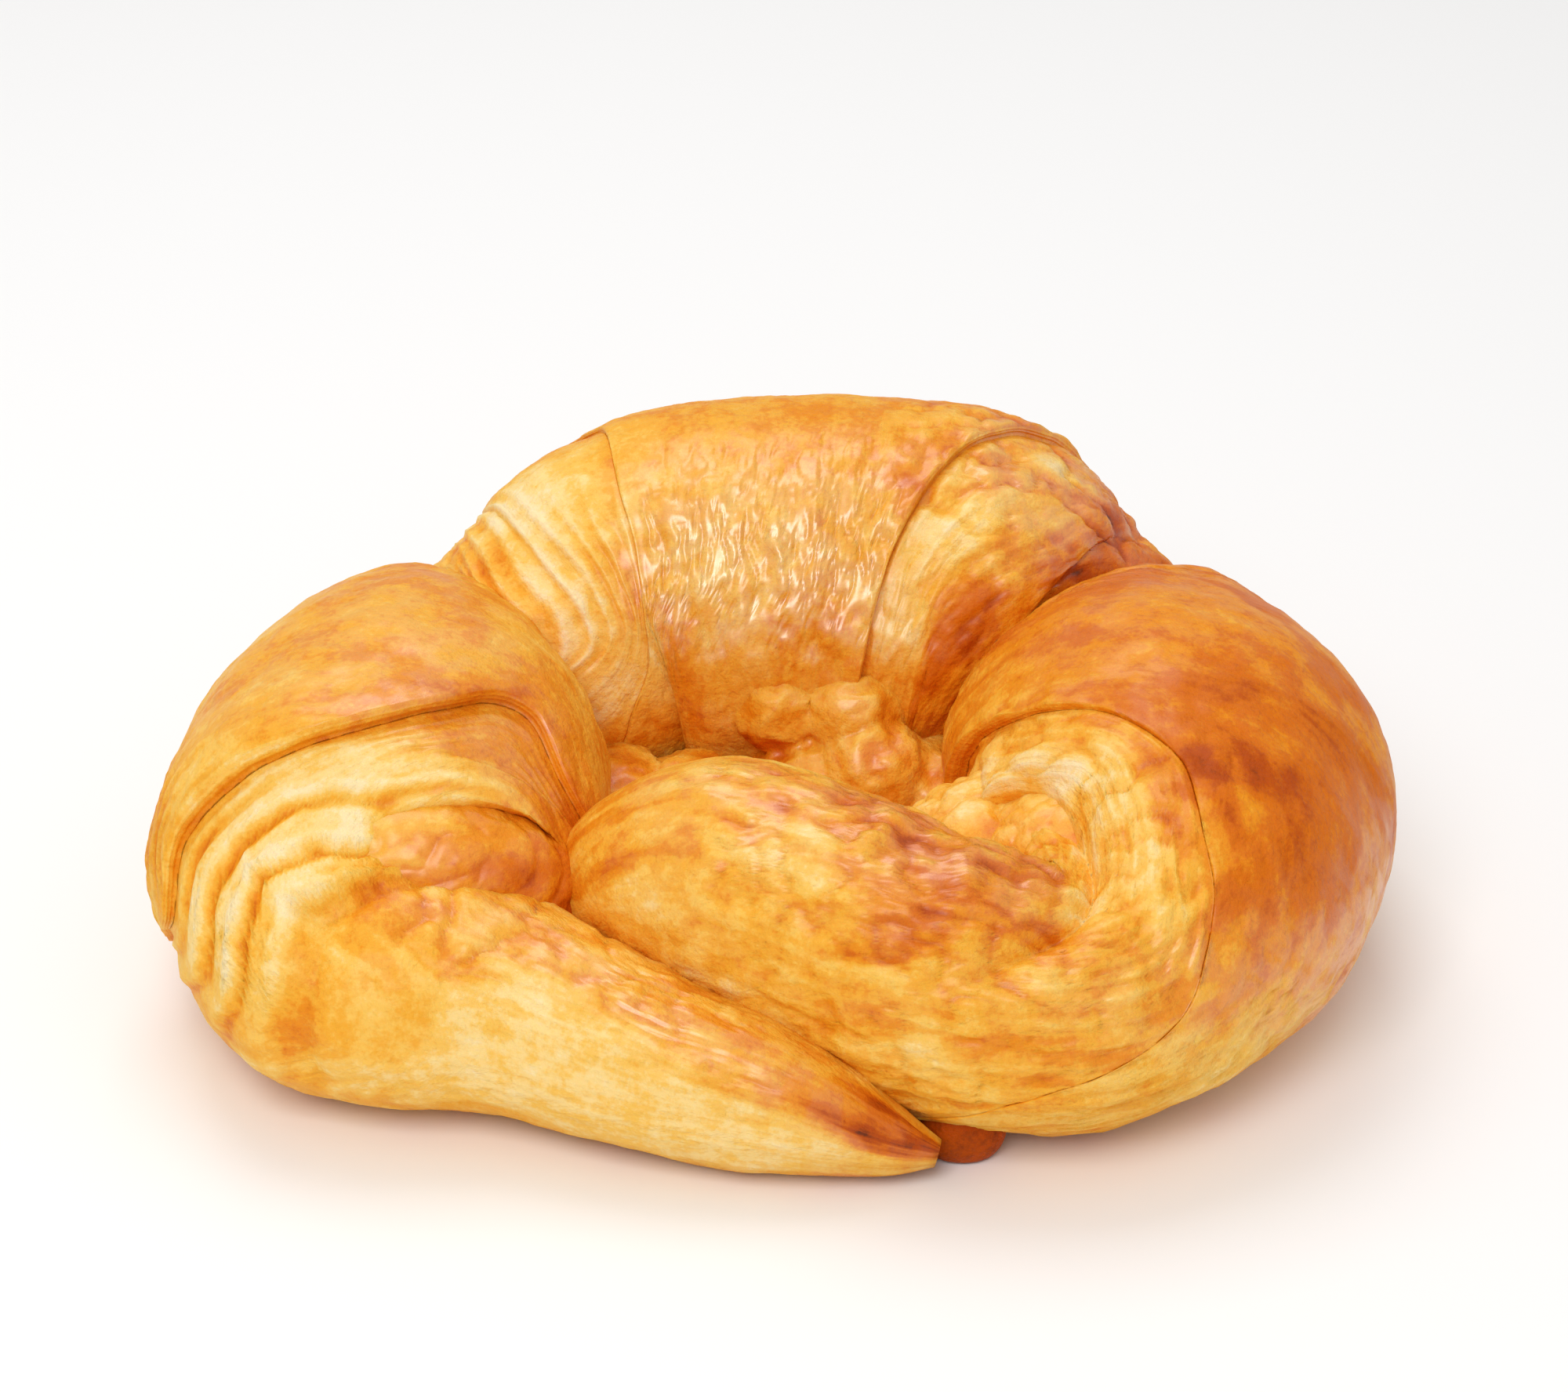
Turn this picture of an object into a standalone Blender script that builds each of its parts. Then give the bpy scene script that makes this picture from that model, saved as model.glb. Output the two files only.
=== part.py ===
"""Butter croissant: one roll of laminated dough, bent into a ring with its two horns crossed at the front.

The roll is a sheet of points that is wrapped round a curved centre line. Its radius follows the layers
of the rolled triangle of dough, the folds at the bends and a few swellings. A voxel remesh joins the roll
where it meets itself, the crumpled tail of the dough and the floor of the ring into one solid.
All sizes are in millimetres until the mesh is made in metres.
"""

import bmesh
import bpy
import numpy as np

MM = 0.001

# Centre line of the roll, from the left horn's tip, round the back, to the right horn's tip.
# Each station is x, y, height of the centre, half width and half height.
STATIONS = (
    (18.0, -51.2, 3.5, 1.6, 1.6),
    (12.0, -50.5, 5.0, 4.2, 4.5),
    (1.0, -48.2, 8.2, 7.6, 8.2),
    (-14.0, -43.4, 10.2, 10.0, 10.2),
    (-29.5, -36.2, 12.6, 13.0, 12.5),
    (-45.0, -28.8, 14.3, 19.6, 16.4),
    (-47.0, -17.3, 16.2, 25.6, 23.8),
    (-45.6, 0.5, 20.3, 25.4, 22.4),
    (-44.0, 17.5, 19.0, 20.0, 20.2),
    (-37.3, 27.6, 17.4, 17.8, 17.2),
    (-27.3, 31.8, 21.0, 21.0, 21.0),
    (-18.5, 36.0, 24.7, 22.6, 24.4),
    (-6.0, 37.5, 25.8, 24.5, 25.8),
    (10.0, 37.5, 25.8, 25.0, 25.9),
    (24.5, 35.5, 25.2, 24.4, 24.8),
    (36.3, 29.8, 20.2, 19.8, 20.4),
    (43.4, 19.5, 19.2, 23.5, 21.0),
    (47.3, 3.0, 20.5, 26.0, 22.3),
    (47.3, -10.0, 19.0, 26.2, 22.8),
    (45.2, -25.0, 18.6, 21.3, 19.2),
    (33.5, -38.5, 16.5, 15.8, 15.6),
    (19.0, -37.8, 18.2, 15.2, 16.4),
    (5.0, -31.0, 20.8, 15.0, 16.4),
    (-6.0, -25.0, 21.3, 14.2, 15.6),
    (-14.5, -22.2, 19.5, 11.8, 12.4),
    (-21.0, -21.0, 16.0, 7.5, 8.5),
)
MIDDLE_STATION = 12.4
TIP_TAPER = 30.0

# The dough is a long triangle, rolled up from its base. As it unrolls from its tail, low on the inner side,
# each of its two long edges moves outwards along the roll. A pair is the turned angle in degrees and the
# distance from the middle.
TAIL_ANGLE = 205.0
LEFT_EDGE = (
    (0, 31), (19, 29.5), (34, 27.5), (46, 23.5), (56, 19.5), (67, 18.2), (88, 17.8), (140, 17.8), (170, 21),
    (205, 32), (295, 57), (355, 76), (409, 82.5), (415, 81), (421, 78.6), (430, 75.5), (439, 75.3),
    (457, 80.2), (466, 82.7), (487, 87.6), (514, 91), (532, 92.5), (548, 94.5), (560, 95), (575, 92),
    (590, 87), (620, 91), (655, 107), (745, 138),
    (835, 162), (925, 186), (1015, 210),
)
RIGHT_EDGE = (
    (0, 9.5), (34, 12), (61, 15), (85, 18.8), (112, 22.3), (150, 27), (205, 36), (295, 53), (355, 64),
    (415, 75.5), (433, 81), (451, 86), (463, 91), (481, 97), (496, 101.8), (514, 105.5), (529, 109),
    (547, 112.3), (571, 118), (655, 138), (745, 160), (835, 184), (925, 208), (1015, 232),
)
# How strongly each edge steps down to the layer below it: turned angle and share of the full step.
LEFT_LIP = (
    (0, 0.15), (120, 0.15), (205, 0.5), (395, 0.3), (425, 0.5), (440, 0.75), (530, 0.7), (550, 0.45),
    (570, 0.3), (700, 0.3), (1015, 0.15),
)
RIGHT_LIP = (
    (0, 0.5), (60, 0.6), (130, 0.4), (390, 0.8), (420, 0.5), (450, 0.2), (480, 0.06), (700, 0.06), (1015, 0.2),
)
LAYER_STEP = 3.4
LIP_WIDTH = 1.0
LAYER_SWELL = 0.8

# Where the bent roll folds: place along it, lean per right angle, middle angle, half spread, depth and width.
FOLDS = (
    (-46.0, 0.0, 115.0, 90.0, 3.5, 2.5),
    (45.0, 0.0, 110.0, 95.0, 5.0, 2.5),
    (-103.5, -9.0, 78.0, 70.0, 0.8, 2.5),
    (109.5, -22.0, 100.0, 75.0, 4.5, 2.5),
)

# Puffed layers inside the bends: place along the roll, angle, half length, half spread and height.
PUFFS = (
    (91.0, 158.0, 6.0, 24.0, 3.0),
    (-98.0, 140.0, 7.0, 28.0, 4.0),
)

# The crumpled tail of the dough, a crumb beside the left horn's tip, dough pressed into the ring's gaps and
# swollen in its bends, and the floor that closes the ring: centre and half sizes.
LUMPS = (
    ((0.5, 14.0, 23.0), (5.5, 5.0, 5.0)),
    ((9.5, 12.5, 23.0), (6.0, 5.0, 5.5)),
    ((12.0, 9.0, 16.5), (7.0, 6.5, 7.5)),
    ((8.0, 12.0, 10.0), (13.0, 11.0, 11.0)),
    ((21.0, -45.5, 3.0), (5.0, 4.0, 4.5)),
    ((-31.0, -16.0, 12.0), (12.0, 9.0, 10.5)),
    ((19.5, 10.5, 12.5), (5.5, 8.0, 7.5)),
    ((-19.5, 9.0, 11.0), (8.0, 9.0, 8.5)),
    ((-10.0, 8.0, 11.0), (8.0, 9.0, 8.0)),
    ((-27.0, -17.0, 17.0), (7.0, 7.0, 8.0)),
    ((-41.0, -24.3, 20.3), (19.0, 10.4, 12.8)),
    ((27.0, -14.0, 17.0), (14.0, 12.0, 11.5)),
    ((34.0, -20.0, 19.0), (11.5, 10.5, 12.0)),
)
FLOOR = ((0.0, -6.0, 1.0), (38.0, 40.0, 12.0))

RINGS = 420
SIDES = 120
VOXEL = 0.9
SMOOTH_PASSES = 2
TRIANGLES = 9500
BASE_SNAP = 0.2

CRUST_COLOUR = (0.66, 0.33, 0.09, 1.0)
CRUST_ROUGHNESS = 0.45


def catmull_rom(points, place):
    """Smooth curve through the rows of points, at each place counted in stations."""
    padded = np.vstack([2 * points[0] - points[1], points, 2 * points[-1] - points[-2]])
    k = np.minimum(place.astype(int), len(points) - 2)
    u = (place - k)[:, None]
    a, b, c, d = (padded[k + i] for i in range(4))
    cubic = (3 * b - a - 3 * c + d) * u**3
    return 0.5 * (2 * b + (c - a) * u + (2 * a - 5 * b + 4 * c - d) * u**2 + cubic)


def spine():
    """The centre line: length along it from the middle, and the station values and axes there."""
    place = np.linspace(0, len(STATIONS) - 1, 40 * len(STATIONS))
    rows = catmull_rom(np.array(STATIONS), place)
    run = np.append(0, np.cumsum(np.linalg.norm(np.diff(rows[:, :3], axis=0), axis=1)))
    even = np.linspace(0, run[-1], RINGS + 1)
    rows = np.column_stack([np.interp(even, run, column) for column in rows.T])
    tangent = np.gradient(rows[:, :3], axis=0)
    outward = np.cross([0, 0, 1], tangent)
    upward = np.cross(tangent, outward)
    axes = [axis / np.linalg.norm(axis, axis=1)[:, None] for axis in (outward, upward)]
    return even - np.interp(MIDDLE_STATION, place, run), rows, *axes


def smooth_step(distance, width):
    """0 well below zero and 1 well above it."""
    return 0.5 * (1 + np.tanh(2 * distance / width))


def turn_from(angle, middle):
    """Signed difference of two angles in degrees."""
    return (angle - middle + 180) % 360 - 180


def edge_distance(edge, turned):
    """Distance from the middle of the roll at which a long edge of the dough lies."""
    angles, reach = np.array(edge, float).T
    slope = np.gradient(reach, angles)
    k = np.clip(np.searchsorted(angles, turned) - 1, 0, len(angles) - 2)
    span = angles[k + 1] - angles[k]
    u = np.clip((turned - angles[k]) / span, 0, 1)
    start = (2 * u**3 - 3 * u**2 + 1) * reach[k] + (u**3 - 2 * u**2 + u) * span * slope[k]
    end = (3 * u**2 - 2 * u**3) * reach[k + 1] + (u**3 - u**2) * span * slope[k + 1]
    return start + end


def layer_relief(along, angle):
    """How far the layers stand out: each swells towards its edge and drops there."""
    turned = (TAIL_ANGLE - angle) % 360.0
    distance = np.abs(along)
    left, right = edge_distance(LEFT_EDGE, turned), edge_distance(RIGHT_EDGE, turned)
    to_right = np.clip((along + left) / (left + right), 0, 1)
    left_lip, right_lip = np.interp(turned, *zip(*LEFT_LIP)), np.interp(turned, *zip(*RIGHT_LIP))
    relief = 0.5 * (left_lip + (right_lip - left_lip) * to_right)
    for edge, lip, side in ((LEFT_EDGE, LEFT_LIP, along < 0), (RIGHT_EDGE, RIGHT_LIP, along >= 0)):
        for turn in range(3):
            here = turned + 360.0 * turn
            after = np.minimum(here + 360.0, edge[-1][0])
            near, far = edge_distance(edge, here), edge_distance(edge, after)
            step, next_step = np.interp(here, *zip(*lip)), np.interp(after, *zip(*lip))
            share = np.clip((distance - near) / np.maximum(far - near, 1.0), 0, 1)
            layer = 0.5 * (share**LAYER_SWELL * (step + next_step) - step)
            blend = smooth_step(distance - near, LIP_WIDTH)
            relief = np.where(side, relief + (layer - relief) * blend, relief)
    return LAYER_STEP * relief


def fold_relief(along, angle):
    """How far the folds sink in: narrow grooves with sharp bottoms."""
    sunk = np.zeros_like(along)
    for place, lean, middle, spread, depth, width in FOLDS:
        turn = turn_from(angle, middle)
        window = np.clip(1 - (turn / spread) ** 2, 0, 1)
        away = np.abs(along - place - lean * turn / 90)
        sunk -= depth * window * np.exp(-away / width)
    return sunk


def puff_relief(along, angle):
    """How far the puffed layers swell out, as rounded bumps."""
    raised = np.zeros_like(along)
    for place, middle, length, spread, height in PUFFS:
        turn = turn_from(angle, middle)
        raised += height * np.exp(-(((along - place) / length) ** 2) - (turn / spread) ** 2)
    return raised


def roll_points(share_along, share_round):
    """Points on the roll's surface, for shares from 0 to 1 along it and round it."""
    along, rows, outward, upward = spine()
    ring = share_along * RINGS
    s = np.interp(ring, np.arange(RINGS + 1), along)
    values, out, up = (
        np.column_stack([np.interp(ring, np.arange(RINGS + 1), column) for column in table.T])
        for table in (rows, outward, upward)
    )
    angle = 360.0 * share_round
    cosine = np.cos(np.radians(angle))
    sine = np.sin(np.radians(angle))
    across = out * (values[:, 3] * cosine)[:, None] + up * (values[:, 4] * sine)[:, None]
    size = np.linalg.norm(across, axis=1)
    taper = np.clip(np.minimum(s - along[0], along[-1] - s) / TIP_TAPER, 0, 1)
    relief = layer_relief(s, angle) + fold_relief(s, angle) + puff_relief(s, angle)
    return values[:, :3] + across * (1 + relief * taper / size)[:, None]


def add_roll(mesh):
    """A flat sheet of faces, wrapped round the centre line and closed at its seam and tips."""
    sheet = bmesh.ops.create_grid(mesh, x_segments=RINGS, y_segments=SIDES, size=0.5)["verts"]
    flat = np.array([vert.co for vert in sheet]) + 0.5
    for vert, point in zip(sheet, roll_points(flat[:, 0], flat[:, 1])):
        vert.co = point * MM
    bmesh.ops.remove_doubles(mesh, verts=sheet, dist=0.01 * MM)
    bmesh.ops.holes_fill(mesh, edges=mesh.edges)


def add_lump(mesh, centre, half):
    """An egg-shaped lump of dough."""
    lump = bmesh.ops.create_icosphere(mesh, subdivisions=4, radius=1.0)["verts"]
    bmesh.ops.scale(mesh, verts=lump, vec=[size * MM for size in half])
    bmesh.ops.translate(mesh, verts=lump, vec=[place * MM for place in centre])


def apply_modifiers(obj):
    """Replaces the object's mesh by what its modifiers make of it."""
    graph = bpy.context.evaluated_depsgraph_get()
    made = bpy.data.meshes.new_from_object(obj.evaluated_get(graph))
    obj.modifiers.clear()
    obj.data = made


def keep_outer_skin(mesh):
    """Drops every loose shell but the largest, so that no sealed hollow is left."""
    left = set(mesh.verts)
    shells = []
    while left:
        shell = {left.pop()}
        edge_of = list(shell)
        while edge_of:
            near = {e.other_vert(v) for v in edge_of for e in v.link_edges} & left
            left -= near
            shell |= near
            edge_of = list(near)
        shells.append(shell)
    largest = max(shells, key=len)
    inner = [vert for shell in shells if shell is not largest for vert in shell]
    bmesh.ops.delete(mesh, geom=inner, context="VERTS")


def settle(obj, snap):
    """Flattens what reaches the tray, and centres the solid over the origin."""
    mesh = bmesh.new()
    mesh.from_mesh(obj.data)
    keep_outer_skin(mesh)
    for vert in mesh.verts:
        if vert.co.z < snap * MM:
            vert.co.z = 0.0
    points = np.array([vert.co for vert in mesh.verts])
    middle = (points.min(axis=0) + points.max(axis=0)) / 2
    bmesh.ops.translate(mesh, verts=mesh.verts, vec=(-middle[0], -middle[1], 0.0))
    bmesh.ops.recalc_face_normals(mesh, faces=mesh.faces)
    mesh.to_mesh(obj.data)
    mesh.free()


def bake_solid(name, collection):
    """The croissant as one closed mesh."""
    mesh = bmesh.new()
    add_roll(mesh)
    for centre, half in (*LUMPS, FLOOR):
        add_lump(mesh, centre, half)
    bmesh.ops.recalc_face_normals(mesh, faces=mesh.faces)
    data = bpy.data.meshes.new(name)
    mesh.to_mesh(data)
    mesh.free()
    obj = bpy.data.objects.new(name, data)
    collection.objects.link(obj)

    join = obj.modifiers.new("join", "REMESH")
    join.mode = "VOXEL"
    join.voxel_size = VOXEL * MM
    soften = obj.modifiers.new("soften", "SMOOTH")
    soften.iterations = SMOOTH_PASSES
    apply_modifiers(obj)
    settle(obj, 0.0)

    thin = obj.modifiers.new("thin", "DECIMATE")
    thin.ratio = TRIANGLES / (2 * len(obj.data.polygons))
    thin.use_collapse_triangulate = True
    apply_modifiers(obj)
    settle(obj, BASE_SNAP)
    return obj


def crust_material():
    """Baked, egg-washed crust."""
    material = bpy.data.materials.new("crust")
    material.use_nodes = True
    shader = material.node_tree.nodes["Principled BSDF"]
    shader.inputs["Base Color"].default_value = CRUST_COLOUR
    shader.inputs["Roughness"].default_value = CRUST_ROUGHNESS
    material.diffuse_color = CRUST_COLOUR
    return material


def main():
    for obj in list(bpy.data.objects):
        bpy.data.objects.remove(obj)
    collection = bpy.data.collections.new("butter_croissant")
    bpy.context.scene.collection.children.link(collection)
    croissant = bake_solid("croissant", collection)
    croissant.data.materials.clear()
    croissant.data.materials.append(crust_material())
    croissant.data.shade_smooth()


main()
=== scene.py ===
"""Butter croissant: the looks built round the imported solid.

The roll is modelled as its dough really lies. One skin wraps the middle of the roll, and two more, one for
each horn, wind out from under it turn by turn. Each turn ends in a lip with an undercut, and the next turn
starts in the crevice below that lip. Lengths are in millimetres until a mesh is made in metres.
"""

import logging
import math
from dataclasses import dataclass
from enum import Enum

import bpy
import numpy as np
from mathutils import Matrix, Vector


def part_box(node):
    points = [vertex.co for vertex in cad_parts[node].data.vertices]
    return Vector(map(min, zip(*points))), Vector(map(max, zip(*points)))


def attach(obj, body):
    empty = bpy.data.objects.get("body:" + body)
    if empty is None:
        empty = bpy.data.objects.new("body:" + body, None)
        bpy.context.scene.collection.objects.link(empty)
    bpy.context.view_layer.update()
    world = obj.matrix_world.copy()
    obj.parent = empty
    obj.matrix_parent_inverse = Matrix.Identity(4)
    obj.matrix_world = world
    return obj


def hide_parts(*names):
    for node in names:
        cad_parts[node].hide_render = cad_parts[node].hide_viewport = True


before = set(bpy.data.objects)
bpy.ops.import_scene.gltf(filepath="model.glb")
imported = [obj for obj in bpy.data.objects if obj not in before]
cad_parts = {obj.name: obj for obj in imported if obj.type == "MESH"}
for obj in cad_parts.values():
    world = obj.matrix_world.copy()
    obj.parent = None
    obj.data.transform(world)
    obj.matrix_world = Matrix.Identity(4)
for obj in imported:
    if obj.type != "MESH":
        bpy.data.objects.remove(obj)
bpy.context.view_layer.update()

logging.basicConfig(level=logging.INFO, format="%(message)s")
log = logging.getLogger("croissant")

MM = 0.001
NODE = "croissant"


class Side(Enum):
    """The two horns, as the sign of the distance along the roll from its middle."""

    LEFT = -1
    RIGHT = 1


# Maths


class LatticeNoise:
    """Smooth seeded noise on a repeating lattice, from -1 to 1."""

    SIZE = 64

    def __init__(self, seed: int) -> None:
        """Fills the lattice.

        Args:
            seed: which of the endless patterns to use.
        """
        self.table = np.random.default_rng(seed).random((self.SIZE,) * 3) * 2 - 1

    def __call__(self, x: np.ndarray, y: np.ndarray, z: np.ndarray | float = 0.0) -> np.ndarray:
        """The noise at each point.

        Args:
            x: first coordinate, in lattice cells.
            y: second coordinate.
            z: third coordinate.

        Returns:
            One value for each point, from -1 to 1.
        """
        point = np.stack(np.broadcast_arrays(x, y, z)).astype(float)
        cell = np.floor(point).astype(int)
        part = point - cell
        part = part * part * (3 - 2 * part)
        low, high = cell % self.SIZE, (cell + 1) % self.SIZE
        total = np.zeros(point.shape[1:])
        for corner in range(8):
            picks = [(corner >> axis) & 1 for axis in range(3)]
            index = tuple(high[axis] if pick else low[axis] for axis, pick in enumerate(picks))
            weight = np.ones_like(total)
            for axis, pick in enumerate(picks):
                weight = weight * (part[axis] if pick else 1 - part[axis])
            total += self.table[index] * weight
        return total

    def layered(
        self, x: np.ndarray, y: np.ndarray, z: np.ndarray | float = 0.0, octaves: int = 3
    ) -> np.ndarray:
        """Several sizes of noise added together.

        Args:
            x: first coordinate, in cells of the largest noise.
            y: second coordinate.
            z: third coordinate.
            octaves: how many sizes, each half the one before.

        Returns:
            One value for each point, about -1 to 1.
        """
        total = np.zeros(np.broadcast(x, y, z).shape)
        for step in range(octaves):
            scale = 2.0**step
            total += self(x * scale + 7.3 * step, y * scale + 3.1 * step, z * scale + 5.7 * step) / scale
        return total / (2 - 0.5 ** (octaves - 1))


def smooth_rise(value: np.ndarray, low: float, high: float) -> np.ndarray:
    """0 at and below low, 1 at and above high, and smooth between them."""
    share = np.clip((value - low) / (high - low), 0.0, 1.0)
    return share * share * (3 - 2 * share)


def turn_from(angle: np.ndarray, middle: float) -> np.ndarray:
    """Signed difference of two angles in degrees, from -180 to 180."""
    return (angle - middle + 180.0) % 360.0 - 180.0


def puffed(folds: np.ndarray) -> np.ndarray:
    """Round bumps from 0 to 1, with creases between them where the noise is 0."""
    return np.minimum(np.abs(folds) * 2.6, 1.0) ** 0.7


def catmull_rom(points: np.ndarray, place: np.ndarray) -> np.ndarray:
    """Smooth curve through the rows of points.

    Args:
        points: one row for each station.
        place: where on the curve, counted in stations.

    Returns:
        One row for each place.
    """
    padded = np.vstack([2 * points[0] - points[1], points, 2 * points[-1] - points[-2]])
    k = np.minimum(place.astype(int), len(points) - 2)
    u = (place - k)[:, None]
    a, b, c, d = (padded[k + i] for i in range(4))
    cubic = (3 * b - a - 3 * c + d) * u**3
    return 0.5 * (2 * b + (c - a) * u + (2 * a - 5 * b + 4 * c - d) * u**2 + cubic)


# Meshes


def take_new(name: str) -> bpy.types.Object:
    """Names the object that was just added.

    Args:
        name: its name, and its mesh's.

    Returns:
        The object.
    """
    obj = bpy.context.object
    obj.name = obj.data.name = name
    return obj


def places(obj: bpy.types.Object) -> np.ndarray:
    """Where the mesh's points are.

    Args:
        obj: the mesh object.

    Returns:
        One row for each point, in the mesh's own units.
    """
    flat = np.empty(len(obj.data.vertices) * 3)
    obj.data.vertices.foreach_get("co", flat)
    return flat.reshape(-1, 3)


def move_to(obj: bpy.types.Object, points: np.ndarray) -> None:
    """Moves the mesh's points to rows in metres."""
    obj.data.vertices.foreach_set("co", points.ravel())


def write_crust(obj: bpy.types.Object, flow: np.ndarray, **values: np.ndarray | float) -> None:
    """Stores what the finish reads at each vertex.

    Args:
        obj: the mesh object.
        flow: coordinates that follow the dough's grain, as rows in millimetres.
        values: the other values, by name: bake, opened, lengthwise and glaze.
    """
    for name, value in values.items():
        made = obj.data.attributes.new(name, "FLOAT", "POINT")
        made.data.foreach_set("value", np.broadcast_to(value, len(obj.data.vertices)).astype(np.float32))
    made = obj.data.attributes.new("flow", "FLOAT_VECTOR", "POINT")
    made.data.foreach_set("vector", (flow * MM).astype(np.float32).ravel())


# The roll


@dataclass(frozen=True)
class Fold:
    """A groove where the bent roll folds.

    Attributes:
        place: distance along the roll from its middle.
        lean: how far it leans along the roll for each right angle round it.
        angle: its middle, round the roll.
        spread: half its length round the roll, in degrees.
        depth: how deep it sinks.
        width: how fast it rises beside its bottom.
    """

    place: float
    lean: float
    angle: float
    spread: float
    depth: float
    width: float


@dataclass(frozen=True)
class RollSizes:
    """Sizes of the roll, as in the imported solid.

    Attributes:
        stations: x, y, centre height, half width and half height, from the left tip to the right one.
        middle_station: the station at the middle of the dough's base.
        tail_angle: the angle round the roll at which the dough's tail lies.
        left_edge: turned angle and distance from the middle of the dough's left edge.
        right_edge: the same for its right edge.
        left_lip: turned angle and how much of the full step the left edge has there.
        right_lip: the same for the right edge.
        step: how far one layer stands above the next.
        swell: how fast a layer rises towards its edge.
        tip_taper: length over which the relief fades towards a tip.
        folds: the folds of the bends.
        puffs: place, angle, half length, half spread and height of each puffed layer.
    """

    stations: tuple[tuple[float, ...], ...] = (
        (18.0, -51.2, 3.5, 1.6, 1.6),
        (12.0, -50.5, 5.0, 4.2, 4.5),
        (1.0, -48.2, 8.2, 7.6, 8.2),
        (-14.0, -43.4, 10.2, 10.0, 10.2),
        (-29.5, -36.2, 12.6, 13.0, 12.5),
        (-45.0, -28.8, 14.3, 19.6, 16.4),
        (-47.0, -17.3, 16.2, 25.6, 23.8),
        (-45.6, 0.5, 20.3, 25.4, 22.4),
        (-44.0, 17.5, 19.0, 20.0, 20.2),
        (-37.3, 27.6, 17.4, 17.8, 17.2),
        (-27.3, 31.8, 21.0, 21.0, 21.0),
        (-18.5, 36.0, 24.7, 22.6, 24.4),
        (-6.0, 37.5, 25.8, 24.5, 25.8),
        (10.0, 37.5, 25.8, 25.0, 25.9),
        (24.5, 35.5, 25.2, 24.4, 24.8),
        (36.3, 29.8, 20.2, 19.8, 20.4),
        (43.4, 19.5, 19.2, 23.5, 21.0),
        (47.3, 3.0, 20.5, 26.0, 22.3),
        (47.3, -10.0, 19.0, 26.2, 22.8),
        (45.2, -25.0, 18.6, 21.3, 19.2),
        (33.5, -38.5, 16.5, 15.8, 15.6),
        (19.0, -37.8, 18.2, 15.2, 16.4),
        (5.0, -31.0, 20.8, 15.0, 16.4),
        (-6.0, -25.0, 21.3, 14.2, 15.6),
        (-14.5, -22.2, 19.5, 11.8, 12.4),
        (-21.0, -21.0, 16.0, 7.5, 8.5),
    )
    middle_station: float = 12.4
    tail_angle: float = 205.0
    left_edge: tuple[tuple[float, float], ...] = (
        (0, 31), (19, 29.5), (34, 27.5), (46, 23.5), (56, 19.5), (67, 18.2), (88, 17.8), (140, 17.8),
        (170, 21), (205, 32), (295, 57), (355, 76), (409, 82.5), (415, 81), (421, 78.6), (430, 75.5),
        (439, 75.3), (457, 80.2), (466, 82.7), (487, 87.6), (514, 91), (532, 92.5), (548, 94.5), (560, 95),
        (575, 92), (590, 87), (620, 91), (655, 107), (745, 138), (835, 162), (925, 186), (1015, 210),
    )
    right_edge: tuple[tuple[float, float], ...] = (
        (0, 9.5), (34, 12), (61, 15), (85, 18.8), (112, 22.3), (150, 27), (205, 36), (295, 53), (355, 64),
        (415, 75.5), (433, 81), (451, 86), (463, 91), (481, 97), (496, 101.8), (514, 105.5), (529, 109),
        (547, 112.3), (571, 118), (655, 138), (745, 160), (835, 184), (925, 208), (1015, 232),
    )
    left_lip: tuple[tuple[float, float], ...] = (
        (0, 0.15), (120, 0.15), (205, 0.5), (395, 0.3), (425, 0.5), (440, 0.75), (530, 0.7), (550, 0.45),
        (570, 0.3), (700, 0.3), (1015, 0.15),
    )
    right_lip: tuple[tuple[float, float], ...] = (
        (0, 0.5), (60, 0.6), (130, 0.4), (390, 0.8), (420, 0.5), (450, 0.2), (480, 0.06), (700, 0.06),
        (1015, 0.2),
    )
    step: float = 3.4
    swell: float = 0.8
    tip_taper: float = 30.0
    folds: tuple[Fold, ...] = (
        Fold(-46.0, 0.0, 115.0, 90.0, 3.5, 2.5),
        Fold(45.0, 0.0, 110.0, 95.0, 5.0, 2.5),
        Fold(-103.5, -9.0, 78.0, 70.0, 0.8, 2.5),
        Fold(109.5, -22.0, 100.0, 75.0, 4.5, 2.5),
    )
    puffs: tuple[tuple[float, float, float, float, float], ...] = (
        (91.0, 158.0, 6.0, 24.0, 3.0),
        (-98.0, 140.0, 7.0, 28.0, 4.0),
    )


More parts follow.
